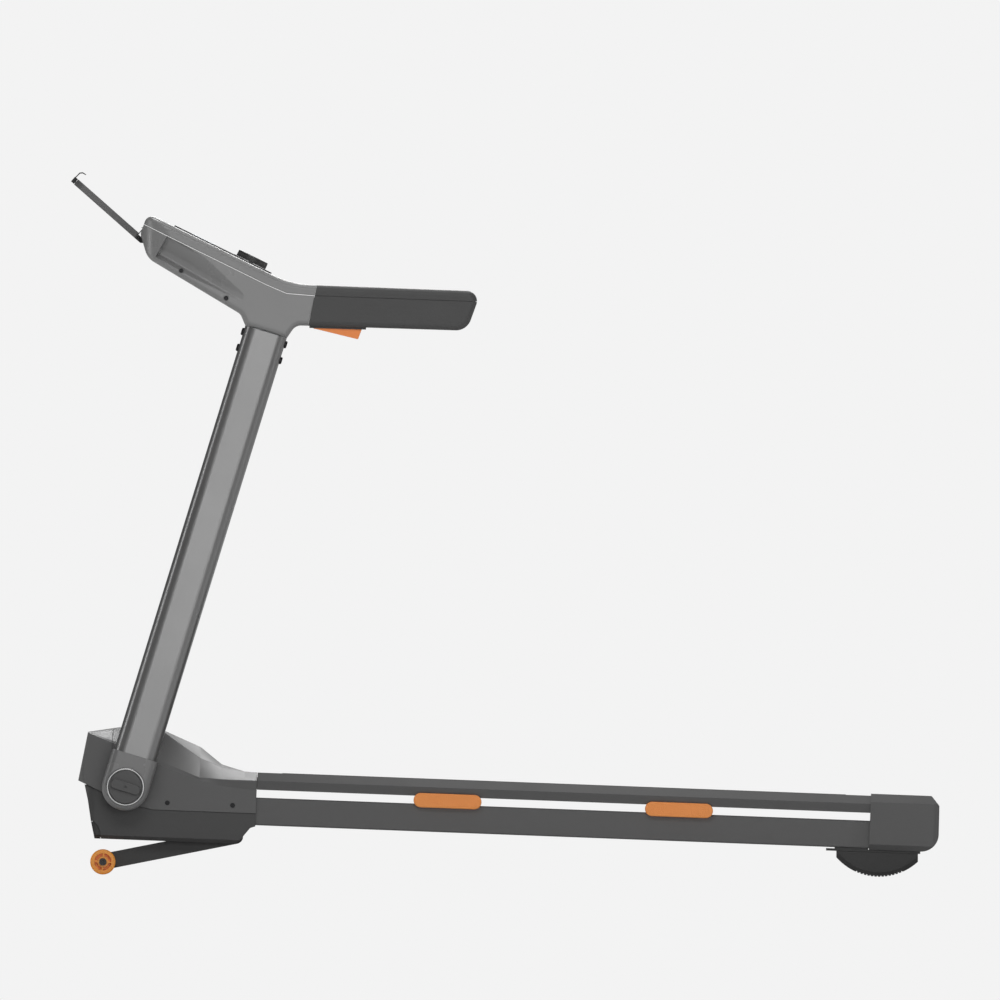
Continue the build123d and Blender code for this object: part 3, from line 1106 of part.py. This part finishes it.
def tablet_holder():
    """Tablet plate with its ledge, lip, hinge barrel and the slot for the hook slider."""
    half = HOLDER_HALF_WIDTH
    plate = box(-HOLDER_LENGTH, 0, -half, half, -HOLDER_THICKNESS, 0)
    plate = fillet(plate.edges().filter_by(Axis.Z).group_by(Axis.X)[0], 18)
    plate = plate - box(-HOLDER_LENGTH + 12, -14, -half + 14, half - 14, -HOLDER_THICKNESS - 1, -4)
    channel = box(-HOLDER_LENGTH - 1, -20, -HOOK_HALF_WIDTH - 6, HOOK_HALF_WIDTH + 6, -HOLDER_THICKNESS, -3.9)
    plate = plate + channel.intersect(box(-HOLDER_LENGTH, 0, -half, half, -HOLDER_THICKNESS, 0))
    plate = plate - box(-HOLDER_LENGTH - 1, -24, -HOOK_HALF_WIDTH - 0.3, HOOK_HALF_WIDTH + 0.3, -8.3, -4.7)
    wall = box(-0.1, LEDGE_WALL, -LEDGE_HALF_WIDTH, LEDGE_HALF_WIDTH, -HOLDER_THICKNESS, LEDGE_HEIGHT)
    lip = box(-LEDGE_LIP, 0, -LEDGE_HALF_WIDTH, LEDGE_HALF_WIDTH, LEDGE_HEIGHT - 1.5, LEDGE_HEIGHT)
    x, z = HINGE_LOCAL
    barrel = rod(x, z, HINGE_RADIUS, -HINGE_HALF_WIDTH, HINGE_HALF_WIDTH)
    web = box(LEDGE_WALL - 0.1, x, -HINGE_HALF_WIDTH, HINGE_HALF_WIDTH, z - HINGE_RADIUS, z + 3)
    bore = rod(x, z, HINGE_PIN_RADIUS + RUNNING_FIT, -HINGE_HALF_WIDTH - 1, HINGE_HALF_WIDTH + 1)
    return HOLDER * (plate + wall + lip + barrel + web - bore)


def holder_hook():
    """Sliding end piece with a thin curved hook that holds the tablet's edge."""
    half = HOOK_HALF_WIDTH
    end = -HOLDER_LENGTH - FREE_GAP
    tongue = box(end - 1, -30 - HOOK_TRAVEL, -half, half, -8, -5)
    block = box(end - 6.5, end, -half, half, -HOLDER_THICKNESS + 0.5, -0.2)
    outline = [(end - 6, -3), (end - 4.4, -3), (end - 3.6, 9), (end - 0.5, 12.2), (end + 5, 13.4),
               (end + 5, 14.9), (end - 1.6, 13.9), (end - 5.4, 10)]
    return HOLDER * (tongue + block + slab(outline, -half, half))


# ---- assembly ---------------------------------------------------------------------------------
def deck_nodes():
    """Pieces of the deck, in the deck's own frame."""
    hood, cover = hood_pieces()
    return {
        "side_tubes": pair(side_tube()),
        "cross_tubes": cross_tubes(),
        "deck_board": deck_board(),
        "running_belt": running_belt(),
        "front_roller": front_roller(),
        "rear_roller": roller(REAR_ROLLER_X),
        "roller_axles": roller_axles(),
        "foot_rail_right": foot_rail(),
        "foot_rail_left": other_side(foot_rail()),
        "rail_treads": pair(tread()),
        "deck_cushions": group(*[pair(deck_cushion(x)) for x in CUSHION_XS]),
        "end_cap_right": end_cap(),
        "end_cap_left": other_side(end_cap()),
        "motor_hood": hood,
        "side_cover_right": cover,
        "side_cover_left": other_side(cover),
        "cover_screws": cover_screws(),
        "lower_cover": lower_cover(),
        "front_bumper": front_bumper(),
        "power_panel": PANEL_PLACE * power_panel(),
        "power_inlet": PANEL_PLACE * power_inlet(),
        "power_rocker": PANEL_PLACE * power_rocker(),
        "breaker_button": PANEL_PLACE * breaker_button(),
        "motor_plate": motor_plate(),
        "drive_motor": drive_motor(),
        "motor_rotor": motor_rotor(),
        "drive_belt": drive_belt(),
        "control_board": control_board(),
        "incline_actuator": incline_actuator(),
        "incline_screw": incline_screw(),
        "incline_arm_right": incline_arm(),
        "incline_arm_left": other_side(incline_arm()),
        "incline_pivot_tube": incline_pivot_tube(),
        "wheel_right": wheel(),
        "wheel_left": other_side(wheel()),
        "mast_brackets": pair(mast_bracket()),
    }


def mast_nodes():
    """Pieces of the mast, upright about its pivot."""
    return {
        "post_right": post(),
        "post_left": other_side(post()),
        "post_boots": pair(post_boot()),
        "knob_rings": pair(knob_ring()),
        "lock_knob_right": lock_knob(),
        "lock_knob_left": other_side(lock_knob()),
        "console_bolts": console_bolts(),
    }


def dash_nodes():
    """Pieces of the dashboard, about the top of the posts."""
    upper, lower = dash_shells()
    right_grip = grip(dash_body())
    return {
        "console_upper": upper,
        "console_lower": lower,
        "grip_right": right_grip,
        "grip_left": other_side(right_grip),
        "handle_tubes": pair(handle_tube()),
        "dash_screws": dash_screws(),
        "display_panel": SLOPE * display_panel(),
        "speed_dial": SLOPE * speed_dial(),
        "console_board": SLOPE * console_board(),
        "paddle_right": paddle(),
        "paddle_left": other_side(paddle()),
        "paddle_bases": pair(paddle_base()),
        "tablet_holder": tablet_holder(),
        "holder_hook": holder_hook(),
        "holder_hinge": holder_hinge(),
    }


def all_nodes():
    """Every piece in its place, with the origin under the middle of the footprint."""
    nodes = {name: DECK * shape for name, shape in deck_nodes().items()}
    nodes["rear_feet"] = pair(rear_foot())
    nodes["foot_soles"] = pair(foot_sole())
    nodes.update({name: MAST * shape for name, shape in mast_nodes().items()})
    nodes.update({name: DASH * shape for name, shape in dash_nodes().items()})
    shift = Pos(-middle_x(nodes), 0, 0)
    return {name: shift * shape for name, shape in nodes.items()}


def middle_x(nodes):
    """Middle of the object's length."""
    boxes = [shape.bounding_box() for shape in nodes.values()]
    return (min(b.min.X for b in boxes) + max(b.max.X for b in boxes)) / 2


def main():
    os.makedirs("parts", exist_ok=True)
    for name, shape in all_nodes().items():
        export_step(shape, f"parts/{name}.step")


if __name__ == "__main__":
    main()
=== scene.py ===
import json
import math

import bmesh
import bpy
from mathutils import Matrix, Vector


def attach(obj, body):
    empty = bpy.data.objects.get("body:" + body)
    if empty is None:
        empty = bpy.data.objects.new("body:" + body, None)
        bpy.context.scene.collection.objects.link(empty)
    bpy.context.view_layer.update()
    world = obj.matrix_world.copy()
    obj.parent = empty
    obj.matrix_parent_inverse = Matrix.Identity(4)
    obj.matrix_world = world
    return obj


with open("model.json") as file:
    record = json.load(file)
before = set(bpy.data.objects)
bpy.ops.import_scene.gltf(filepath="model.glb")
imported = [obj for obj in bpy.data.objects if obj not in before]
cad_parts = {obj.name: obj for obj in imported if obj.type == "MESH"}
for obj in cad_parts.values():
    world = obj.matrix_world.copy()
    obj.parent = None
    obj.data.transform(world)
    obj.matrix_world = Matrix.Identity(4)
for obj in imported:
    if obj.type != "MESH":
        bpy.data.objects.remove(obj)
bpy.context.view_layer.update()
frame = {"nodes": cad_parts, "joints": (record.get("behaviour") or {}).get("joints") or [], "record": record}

record = frame["record"]
joints = {joint["name"]: joint for joint in frame["joints"]}
mounts = {mount["name"]: mount for mount in record["mounts"]}
MM = 0.001


# ---- colours and nodes ------------------------------------------------------------------------
def paint(code):
    """Linear colour of an sRGB hex value."""
    values = [int(code[i:i + 2], 16) / 255 for i in (1, 3, 5)]
    return [v / 12.92 if v <= 0.04045 else ((v + 0.055) / 1.055) ** 2.4 for v in values] + [1.0]


def add_node(tree, kind, settings=None, inputs=None):
    """One node with its settings; each input is a value, or a socket that it is linked to."""
    node = tree.nodes.new(kind)
    for name, value in (settings or {}).items():
        setattr(node, name, value)
    for name, value in (inputs or {}).items():
        if isinstance(value, bpy.types.NodeSocket):
            tree.links.new(value, node.inputs[name])
        else:
            node.inputs[name].default_value = value
    return node


def new_material(name):
    """Empty material with its shader and the object coordinates."""
    material = bpy.data.materials.new(name)
    material.use_nodes = True
    tree = material.node_tree
    shader = tree.nodes["Principled BSDF"]
    place = add_node(tree, "ShaderNodeTexCoord").outputs["Object"]
    return material, tree, shader, place


def shade_tones(tree, shader, place, dark, light, rough, spread, patch_mm):
    """Slow drift of tone and gloss over a surface, as handling and moulding leave it."""
    drift = add_node(tree, "ShaderNodeTexNoise", None,
                     {"Vector": place, "Scale": 1 / (patch_mm * MM), "Detail": 4.0, "Roughness": 0.6})
    tone = add_node(tree, "ShaderNodeMix", {"data_type": "RGBA"},
                    {0: drift.outputs["Fac"], 6: paint(dark), 7: paint(light)})
    gloss = add_node(tree, "ShaderNodeMapRange", None,
                     {"Value": drift.outputs["Fac"], "From Min": 0.3, "From Max": 0.7,
                      "To Min": rough - spread, "To Max": rough + spread})
    tree.links.new(tone.outputs[2], shader.inputs["Base Color"])
    tree.links.new(gloss.outputs["Result"], shader.inputs["Roughness"])


def relief(tree, shader, height, depth_mm, edge_mm):
    """Bump of a height pattern on softly rounded edges."""
    inputs = {"Height": height, "Distance": depth_mm * MM, "Strength": 1.0}
    soft = add_node(tree, "ShaderNodeBevel", {"samples": 4}, {"Radius": edge_mm * MM})
    inputs["Normal"] = soft.outputs["Normal"]
    bump = add_node(tree, "ShaderNodeBump", None, inputs)
    tree.links.new(bump.outputs["Normal"], shader.inputs["Normal"])


def grain(tree, place, pitch_mm, detail=2.0):
    """Height of a fine random grain."""
    return add_node(tree, "ShaderNodeTexNoise", None,
                    {"Vector": place, "Scale": 1 / (pitch_mm * MM), "Detail": detail}).outputs["Fac"]


def moulded(name, dark, light, rough, grain_mm, depth_mm, edge_mm=0.8, ior=1.53, patch_mm=90):
    """Injection-moulded ABS or nylon: spark-eroded grain, drawn coarse enough to show, and soft edges."""
    material, tree, shader, place = new_material(name)
    shade_tones(tree, shader, place, dark, light, rough, 0.04, patch_mm)
    shader.inputs["IOR"].default_value = ior
    relief(tree, shader, grain(tree, place, grain_mm), depth_mm, edge_mm)
    return material


def painted(name, dark, light, rough, peel_mm, depth_mm, metallic, edge_mm=0.8):
    """Coat on steel: a fine orange peel, drawn coarse enough to show; flake makes it part metallic."""
    material, tree, shader, place = new_material(name)
    shade_tones(tree, shader, place, dark, light, rough, 0.03, 140)
    shader.inputs["Metallic"].default_value = metallic
    relief(tree, shader, grain(tree, place, peel_mm, 3.0), depth_mm, edge_mm)
    return material


LINE_STRETCH = 6.0              # noise cells per metre along a line, so the lines run nearly unbroken


def bare_metal(name, dark, light, rough, along, line_mm, depth_mm):
    """Turned, drawn or plated metal: fine lines, drawn coarse enough to show, across a direction."""
    material, tree, shader, place = new_material(name)
    shade_tones(tree, shader, place, dark, light, rough, 0.06, 60)
    shader.inputs["Metallic"].default_value = 1.0
    stretch = [1 / (line_mm * MM) if axis == along else LINE_STRETCH for axis in "XYZ"]
    drawn = add_node(tree, "ShaderNodeMapping", None, {"Vector": place, "Scale": stretch})
    lines = add_node(tree, "ShaderNodeTexNoise", None,
                     {"Vector": drawn.outputs["Vector"], "Scale": 1.0, "Detail": 3.0}).outputs["Fac"]
    relief(tree, shader, lines, depth_mm, 0.4)
    return material


def elastomer(name, dark, light, rough, pitch_mm, depth_mm, sheen, jitter=0.25):
    """Cast or moulded rubber: a pressed cell pattern, drawn coarse to show, and a sheen for dusty softness."""
    material, tree, shader, place = new_material(name)
    shade_tones(tree, shader, place, dark, light, rough, 0.05, 50)
    shader.inputs["IOR"].default_value = 1.5
    shader.inputs["Sheen Weight"].default_value = sheen
    cells = add_node(tree, "ShaderNodeTexVoronoi", {"feature": "DISTANCE_TO_EDGE"},
                     {"Vector": place, "Scale": 1 / (pitch_mm * MM), "Randomness": jitter})
    walls = add_node(tree, "ShaderNodeMapRange", {"interpolation_type": "SMOOTHSTEP"},
                     {"Value": cells.outputs["Distance"], "From Min": 0.02, "From Max": 0.22})
    relief(tree, shader, walls.outputs["Result"], depth_mm, 0.8)
    return material


# ---- camera, light, floor ---------------------------------------------------------------------
MIDDLE_X = -0.0086
EYE_HEIGHT = 0.6236
FRAME_WIDTH = 1.65994
FLOOR_ROLL = 0.17               # degrees that the floor drops towards the rear in the frame

camera_data = bpy.data.cameras.new("Camera")
camera_data.type = "ORTHO"
camera_data.ortho_scale = FRAME_WIDTH
camera_data.clip_end = 30.0
camera = bpy.data.objects.new("Camera", camera_data)
camera.location = (MIDDLE_X, -6.0, EYE_HEIGHT)
camera.rotation_euler = (math.radians(90), -math.radians(FLOOR_ROLL), 0)
bpy.context.scene.collection.objects.link(camera)
bpy.context.scene.camera = camera


def soft_box(name, place, aim, width, height, power):
    """Rectangular studio light that faces a point."""
    data = bpy.data.lights.new(name, "AREA")
    data.shape = "RECTANGLE"
    data.size, data.size_y, data.energy = width, height, power
    light = bpy.data.objects.new(name, data)
    light.location = place
    light.rotation_euler = (Vector(aim) - Vector(place)).to_track_quat("-Z", "Y").to_euler()
    light.visible_camera = False
    bpy.context.scene.collection.objects.link(light)


soft_box("Key", (-0.8, -4.6, 3.2), (0, 0, 0.5), 3.0, 1.6, 62)
soft_box("Fill_wall", (0.4, -6.6, 0.7), (0.1, 0, 0.6), 4.2, 2.2, 62)
soft_box("Overhead", (0.1, 0.0, 3.6), (0, 0, 0.4), 3.0, 1.8, 40)
soft_box("Front_strip", (-3.6, -0.4, 1.0), (-0.3, 0, 0.6), 0.5, 2.6, 16)
soft_box("Rear_strip", (3.8, -1.6, 1.0), (0.1, 0, 0.6), 0.5, 2.6, 14)
soft_box("Back", (0.5, 4.2, 3.4), (0, 0, 0.4), 3.4, 2.0, 150)

world = bpy.data.worlds.new("Studio")
world.use_nodes = True
bpy.context.scene.world = world
room = world.node_tree
seen = add_node(room, "ShaderNodeLightPath").outputs["Is Camera Ray"]
room_tone = add_node(room, "ShaderNodeMix", {"data_type": "RGBA"},
                     {0: seen, 6: paint("#565656"), 7: paint("#F3F3F3")})
room.links.new(room_tone.outputs[2], room.nodes["Background"].inputs["Color"])
bpy.context.scene.view_settings.view_transform = "Standard"

bpy.ops.mesh.primitive_plane_add(size=14, location=(0, 0, 0))
floor = bpy.context.object
floor.name = "floor"
# Matt floor paint: pale and even, so nothing shows on it but the object's own shade.
floor_paint, tree, shader, place = new_material("matt_floor_paint")
shade_tones(tree, shader, place, "#EDEDED", "#F3F3F3", 0.7, 0.03, 700)
floor.data.materials.append(floor_paint)


# ---- finishes ---------------------------------------------------------------------------------
finishes = {}

# Powder coat on the steel frame: dull dark grey, with a fine peel that breaks the reflections.
finishes["frame_paint"] = painted("powder_coat_dark_grey", "#565656", "#5F5F5F", 0.52, 1.6, 0.05, 0.0)
# The same coat on the wheel arms and their tube, darkened with painted shade: much darker, so they sink into
# the shade of the nose.
finishes["arm_paint"] = painted("powder_coat_grey_painted_shade", "#343434", "#3C3C3C", 0.5, 1.6, 0.05, 0.0)
# Enamel on the drive motor and the incline actuator: black with a soft sheen.
finishes["motor_paint"] = painted("motor_enamel_black", "#1D1D1F", "#27272A", 0.42, 1.4, 0.04, 0.0)
# Black oxide on bolts, screws and the holder's hinge: dark and half metallic, so only edges glint.
finishes["black_steel"] = painted("black_oxide_steel", "#1B1B1C", "#29292B", 0.38, 0.8, 0.02, 0.6, 0.3)
# Satin silver-grey coat with flake: holds long soft bands of light along rounded edges.
finishes["post_paint"] = painted("powder_coat_silver_grey", "#838383", "#8B8B8B", 0.3, 1.8, 0.006, 0.7)

# Moulded ABS hood and side covers: mid grey, with a spark-eroded grain that spreads each highlight.
finishes["hood_plastic"] = moulded("moulded_abs_grey", "#545454", "#5D5D5D", 0.47, 1.5, 0.03)
# Moulded ABS foot rails and end caps: a shade darker and duller than the hood.
finishes["rail_plastic"] = moulded("moulded_abs_rail_grey", "#4F4F4F", "#595959", 0.5, 1.4, 0.035)
# Moulded ABS lower cover: dark grey, so the seam to the hood reads as a change of tone.
finishes["belly_plastic"] = moulded("moulded_abs_dark_grey", "#3A3A3A", "#424242", 0.5, 1.5, 0.03)
# Moulded nylon bumper, feet, power panel, paddle bases and hook: black, even and dry.
finishes["black_plastic"] = moulded("moulded_nylon_black", "#1C1C1C", "#262626", 0.48, 1.2, 0.025)
# Satin ABS boots at the foot of the mast: mid grey, smooth, with softly rounded rims.
finishes["boot_plastic"] = moulded("satin_abs_boot_grey", "#6E6E6E", "#777777", 0.28, 2.0, 0.006, 2.5)
# Satin ABS dashboard: silver grey, smooth, with long soft highlights on its rounded edges.
finishes["dash_plastic"] = moulded("satin_abs_silver_grey", "#818181", "#8B8B8B", 0.3, 2.0, 0.008, 3.0)
# Satin ABS knobs and dial: dark grey with a soft shine.
finishes["knob_plastic"] = moulded("satin_abs_knob_grey", "#3E3E3E", "#484848", 0.36, 1.2, 0.012, 0.6)
# Satin ABS tablet rest: dark grey with a soft sheen.
finishes["holder_plastic"] = moulded("satin_abs_holder_grey", "#5A5A5A", "#646464", 0.4, 1.5, 0.015, 0.8)
# Gloss ABS rocker and breaker button: deep red with a hard small highlight.
finishes["switch_plastic"] = moulded("gloss_abs_switch", "#7A1712", "#8E2018", 0.2, 3.0,
                                     0.004, 0.8, 1.55, 12)
# Moulded nylon wheels: yellow orange, smooth, a little waxy.
finishes["orange_wheel"] = moulded("moulded_nylon_orange", "#FFA032", "#FFAA40", 0.36, 1.2, 0.015, 0.6)
# Satin ABS paddles: clear orange with a soft highlight.
finishes["orange_plastic"] = moulded("satin_abs_orange", "#FF8A34", "#FF9440", 0.36, 1.6, 0.012, 0.7)

# Cast polyurethane cushions: pale orange, matt, with a cell pattern pressed into the skin.
finishes["orange_elastomer"] = elastomer("cast_polyurethane_orange", "#FF9A4C", "#FFA458",
                                         0.5, 3.4, 0.35, 0.1)
# Soft-touch TPE grips: dark grey, velvety, no sharp highlight.
finishes["grip_rubber"] = elastomer("soft_touch_tpe_dark_grey", "#424242", "#4B4B4B", 0.55,
                                    2.6, 0.04, 0.15, 0.6)
# Rubber tread strips: nearly black and dusty.
finishes["tread_rubber"] = elastomer("tread_rubber_black", "#232323", "#2C2C2C", 0.68, 2.2, 0.08, 0.15, 0.9)
# Moulded rubber soles and drive belt: black and dull, with an uneven skin.
finishes["black_rubber"] = elastomer("moulded_rubber_black", "#1E1E1E", "#2B2B2B", 0.66, 1.8,
                                     0.05, 0.15, 1.0)

# Turned steel rollers: bright, with rings round them from the tool.
finishes["roller_steel"] = bare_metal("turned_steel_roller", "#8E9092", "#A4A6A8", 0.3, "Y", 0.6, 0.02)
# Bare steel axles, lift screw and rotor: greyer, with fine lines round them.
finishes["bare_steel"] = bare_metal("drawn_steel", "#85878A", "#9C9EA0", 0.32, "Y", 0.6, 0.02)
# Zinc-plated brackets, motor plate and handle tubes: pale, slightly blue, with a soft shine.
finishes["zinc_steel"] = bare_metal("zinc_plated_steel", "#9A9DA0", "#B2B4B4", 0.38, "X", 1.2, 0.02)
# Polished chrome ring: a thin bright line round each knob.
finishes["bright_ring"] = bare_metal("polished_chrome_ring", "#8E8E8E", "#9A9A9A", 0.2, "Y", 0.8, 0.004)


BELT_PITCH_MM = 7.2             # from one ridge to the next, drawn coarser than the real 2 to 3 mm
BELT_WAVE = 0.314               # a wave texture of this scale has one band per unit


def belt_pvc():
    """Treadmill belt: two-ply PVC, dark, with pressed diamonds that are faintly shiny on their ridges."""
    material, tree, shader, place = new_material("pressed_pvc_belt_black")
    shade_tones(tree, shader, place, "#1A1A1A", "#232323", 0.55, 0.06, 160)
    shader.inputs["IOR"].default_value = 1.5
    bands_per_metre = BELT_WAVE / (BELT_PITCH_MM * MM)
    ridges = []
    for turn in (45, -45):
        lines = add_node(tree, "ShaderNodeMapping", None,
                         {"Vector": place, "Rotation": (0, 0, math.radians(turn))})
        ridges.append(add_node(tree, "ShaderNodeTexWave", {"wave_profile": "SIN"},
                               {"Vector": lines.outputs["Vector"], "Scale": bands_per_metre,
                                "Distortion": 0.0}).outputs["Fac"])
    crossing = add_node(tree, "ShaderNodeMath", {"operation": "MAXIMUM"}, {0: ridges[0], 1: ridges[1]})
    relief(tree, shader, crossing.outputs["Value"], 0.3, 0.5)
    return material


def board_fibre():
    """Resin-bound fibreboard: flecked brown under a waxed face."""
    material, tree, shader, place = new_material("phenolic_fibreboard_brown")
    shade_tones(tree, shader, place, "#5C4630", "#7A6044", 0.5, 0.08, 4)
    relief(tree, shader, grain(tree, place, 1.2, 4.0), 0.04, 0.5)
    return material


def display_overlay():
    """Printed polycarbonate overlay: deep gloss with a faint ripple."""
    material, tree, shader, place = new_material("gloss_polycarbonate_overlay")
    shade_tones(tree, shader, place, "#0B0B0C", "#111113", 0.13, 0.03, 80)
    shader.inputs["IOR"].default_value = 1.58
    relief(tree, shader, grain(tree, place, 40, 1.0), 0.05, 0.8)
    return material


def solder_mask():
    """Green circuit board: gloss mask with copper tracks seen under it as darker lines."""
    material, tree, shader, place = new_material("solder_mask_green")
    tracks = add_node(tree, "ShaderNodeTexBrick", None,
                      {"Vector": place, "Scale": 60.0, "Mortar Size": 0.04, "Color1": paint("#1E6B3A"),
                       "Color2": paint("#237542"), "Mortar": paint("#124A28")})
    tree.links.new(tracks.outputs["Color"], shader.inputs["Base Color"])
    shader.inputs["Roughness"].default_value = 0.3
    relief(tree, shader, tracks.outputs["Fac"], 0.05, 0.3)
    return material


def lit_segment(name, code, strength):
    """Light through a tinted window: a soft even glow with a slightly paler middle."""
    material, tree, shader, place = new_material(name)
    shade_tones(tree, shader, place, code, code, 0.3, 0.02, 10)
    glow = grain(tree, place, 6, 1.0)
    level = add_node(tree, "ShaderNodeMapRange", None,
                     {"Value": glow, "To Min": strength * 0.85, "To Max": strength})
    shader.inputs["Emission Color"].default_value = paint(code)
    tree.links.new(level.outputs["Result"], shader.inputs["Emission Strength"])
    return material


finishes["running_belt"] = belt_pvc()
finishes["deck_board"] = board_fibre()
finishes["display_glass"] = display_overlay()
finishes["circuit_board"] = solder_mask()
# White light of the digits, and the pale grey screen print round the keys.
segment_light = lit_segment("lit_segment_white", "#E8F0F4", 1.1)
key_print = moulded("screen_print_grey", "#9A9A9A", "#A2A2A2", 0.4, 3.0, 0.004, 0.2)

node_finish = {part["node"]: part["material_slot"] for part in record["subparts"]}
for node, slot_name in node_finish.items():
    mesh = frame["nodes"][node].data
    if not mesh.materials:
        mesh.materials.append(None)
    for index in range(len(mesh.materials)):
        mesh.materials[index] = finishes[slot_name]


# ---- modelling helpers ------------------------------------------------------------------------
def start_piece(kind, **settings):
    """A fresh primitive, alone in the selection."""
    bpy.ops.object.select_all(action="DESELECT")
    getattr(bpy.ops.mesh, "primitive_" + kind + "_add")(**settings)
    return bpy.context.object


def bevel_piece(piece, width, segments):
    """Rounds the sharp edges of a piece with an applied bevel."""
    rounder = piece.modifiers.new("edge", "BEVEL")
    rounder.width, rounder.segments, rounder.limit_method = width, segments, "ANGLE"
    bpy.ops.object.modifier_apply(modifier=rounder.name)


def rounded_bar(length, width, height, edge):
    """Small bar about its own middle, its upper edges rounded."""
    piece = start_piece("cube", size=1)
    piece.scale = (length, width, height)
    bpy.ops.object.transform_apply(location=False, rotation=False, scale=True)
    bevel_piece(piece, edge, 2)
    return piece


def gather(name, pattern, places, body, material, smooth=40):
    """Copies a pattern piece to each place as one mesh, and lets it ride on a body."""
    joined = bmesh.new()
    for place in places:
        copy = pattern.data.copy()
        copy.transform(place)
        joined.from_mesh(copy)
        bpy.data.meshes.remove(copy)
    mesh = bpy.data.meshes.new(name)
    joined.to_mesh(mesh)
    joined.free()
    mesh.materials.append(material)
    piece = bpy.data.objects.new(name, mesh)
    bpy.context.scene.collection.objects.link(piece)
    bpy.ops.object.select_all(action="DESELECT")
    piece.select_set(True)
    bpy.context.view_layer.objects.active = piece
    bpy.ops.object.shade_smooth_by_angle(angle=math.radians(smooth))
    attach(piece, body)
    return piece


def slope_frame(point, normal):
    """Frame on a face: local x runs to the rear along the face, y to the right, z out of it."""
    out = Vector(normal).normalized()
    side = Vector((0, 1, 0))
    along = side.cross(out).normalized()
    turn = Matrix((along, side, out)).transposed().to_4x4()
    return Matrix.Translation(point) @ turn


# ---- ribs of the tread strips -----------------------------------------------------------------
RIB_LENGTH = 0.936
RIB_PITCH = 0.0062
RIBS = 8
rib = rounded_bar(RIB_LENGTH, 0.0026, 0.0012, 0.0004)
for hand in ("right", "left"):
    top = slope_frame(mounts[hand + "_foot_rail"]["pos_m"], mounts[hand + "_foot_rail"]["axis"])
    spots = [top @ Matrix.Translation((0.001, (i - (RIBS - 1) / 2) * RIB_PITCH, 0.0)) for i in range(RIBS)]
    gather("tread_ribs_" + hand, rib, spots, "frame", finishes["tread_rubber"])
bpy.data.objects.remove(rib)

# ---- display window, digits and keys ----------------------------------------------------------
dial = joints["dial_turn"]
PANEL_TOP = 0.0026              # the overlay stands this far out of the dashboard's face
desk = slope_frame(dial["pos_m"], dial["axis"]) @ Matrix.Translation((0, 0, PANEL_TOP))
LIT = {"0": "abcdef", "1": "bc", "2": "abged", "3": "abgcd"}
SEGMENT = 0.013                 # length of one segment
DIGIT_STEP = 1.75               # from one digit to the next, in segment lengths
DIGIT_HALF = 0.54               # half a digit's cell, in segment lengths
DIGIT_ROW = -0.088              # the row of digits lies this far ahead of the dial
SPREAD = {"a": (-2, 0, 90), "g": (0, 0, 90), "d": (2, 0, 90), "f": (-1, -1, 0), "b": (-1, 1, 0),
          "e": (1, -1, 0), "c": (1, 1, 0)}
segment = rounded_bar(SEGMENT, 0.0026, 0.0004, 0.0009)


def digit_places(text, x, y, size):
    """Where the lit segments of some digits go; text reads towards +Y, its foot to the rear."""
    places = []
    step = SEGMENT * size * DIGIT_STEP
    half = SEGMENT * size * DIGIT_HALF
    for index, figure in enumerate(text):
        for mark in LIT[figure]:
            down, across, turn = SPREAD[mark]
            spot = (x + down * half, y + index * step + across * half, 0.0002)
            places.append(desk @ Matrix.Translation(spot) @ Matrix.Rotation(math.radians(turn), 4, "Z")
                          @ Matrix.Diagonal((size, size, 1, 1)))
    return places


lit = digit_places("00", DIGIT_ROW, -0.028, 1.35)
lit += digit_places("12", DIGIT_ROW, -0.185, 0.9)
lit += digit_places("30", DIGIT_ROW, 0.150, 0.9)
gather("lit_digits", segment, lit, "mast", segment_light)
bpy.data.objects.remove(segment)

KEY_ROW = -0.022                # the row of keys, between the digits and the dial
KEY_PLACES = (-0.15, -0.115, -0.08, 0.08, 0.115, 0.15)
key_ring = start_piece("torus", major_radius=0.0085, minor_radius=0.0005, major_segments=48,
                       minor_segments=8)
key_spots = [desk @ Matrix.Translation((KEY_ROW, y, 0.0001)) for y in KEY_PLACES]
gather("key_rings", key_ring, key_spots, "mast", key_print)
bpy.data.objects.remove(key_ring)

# ---- knurl of the speed dial ------------------------------------------------------------------
KNURL_RADIUS = 0.0262           # from the dial's axis to the middle of a knurl
KNURLS = 60
rib = rounded_bar(0.0009, 0.0012, 0.0072, 0.0003)
base = slope_frame(dial["pos_m"], dial["axis"])
KNURL_HEIGHT = 0.0064           # middle of a knurl above the dashboard's face
outward = Matrix.Translation((KNURL_RADIUS, 0, KNURL_HEIGHT))
spots = [base @ Matrix.Rotation(math.tau * i / KNURLS, 4, "Z") @ outward for i in range(KNURLS)]
gather("dial_knurl", rib, spots, "speed_dial", finishes["knob_plastic"])
bpy.data.objects.remove(rib)
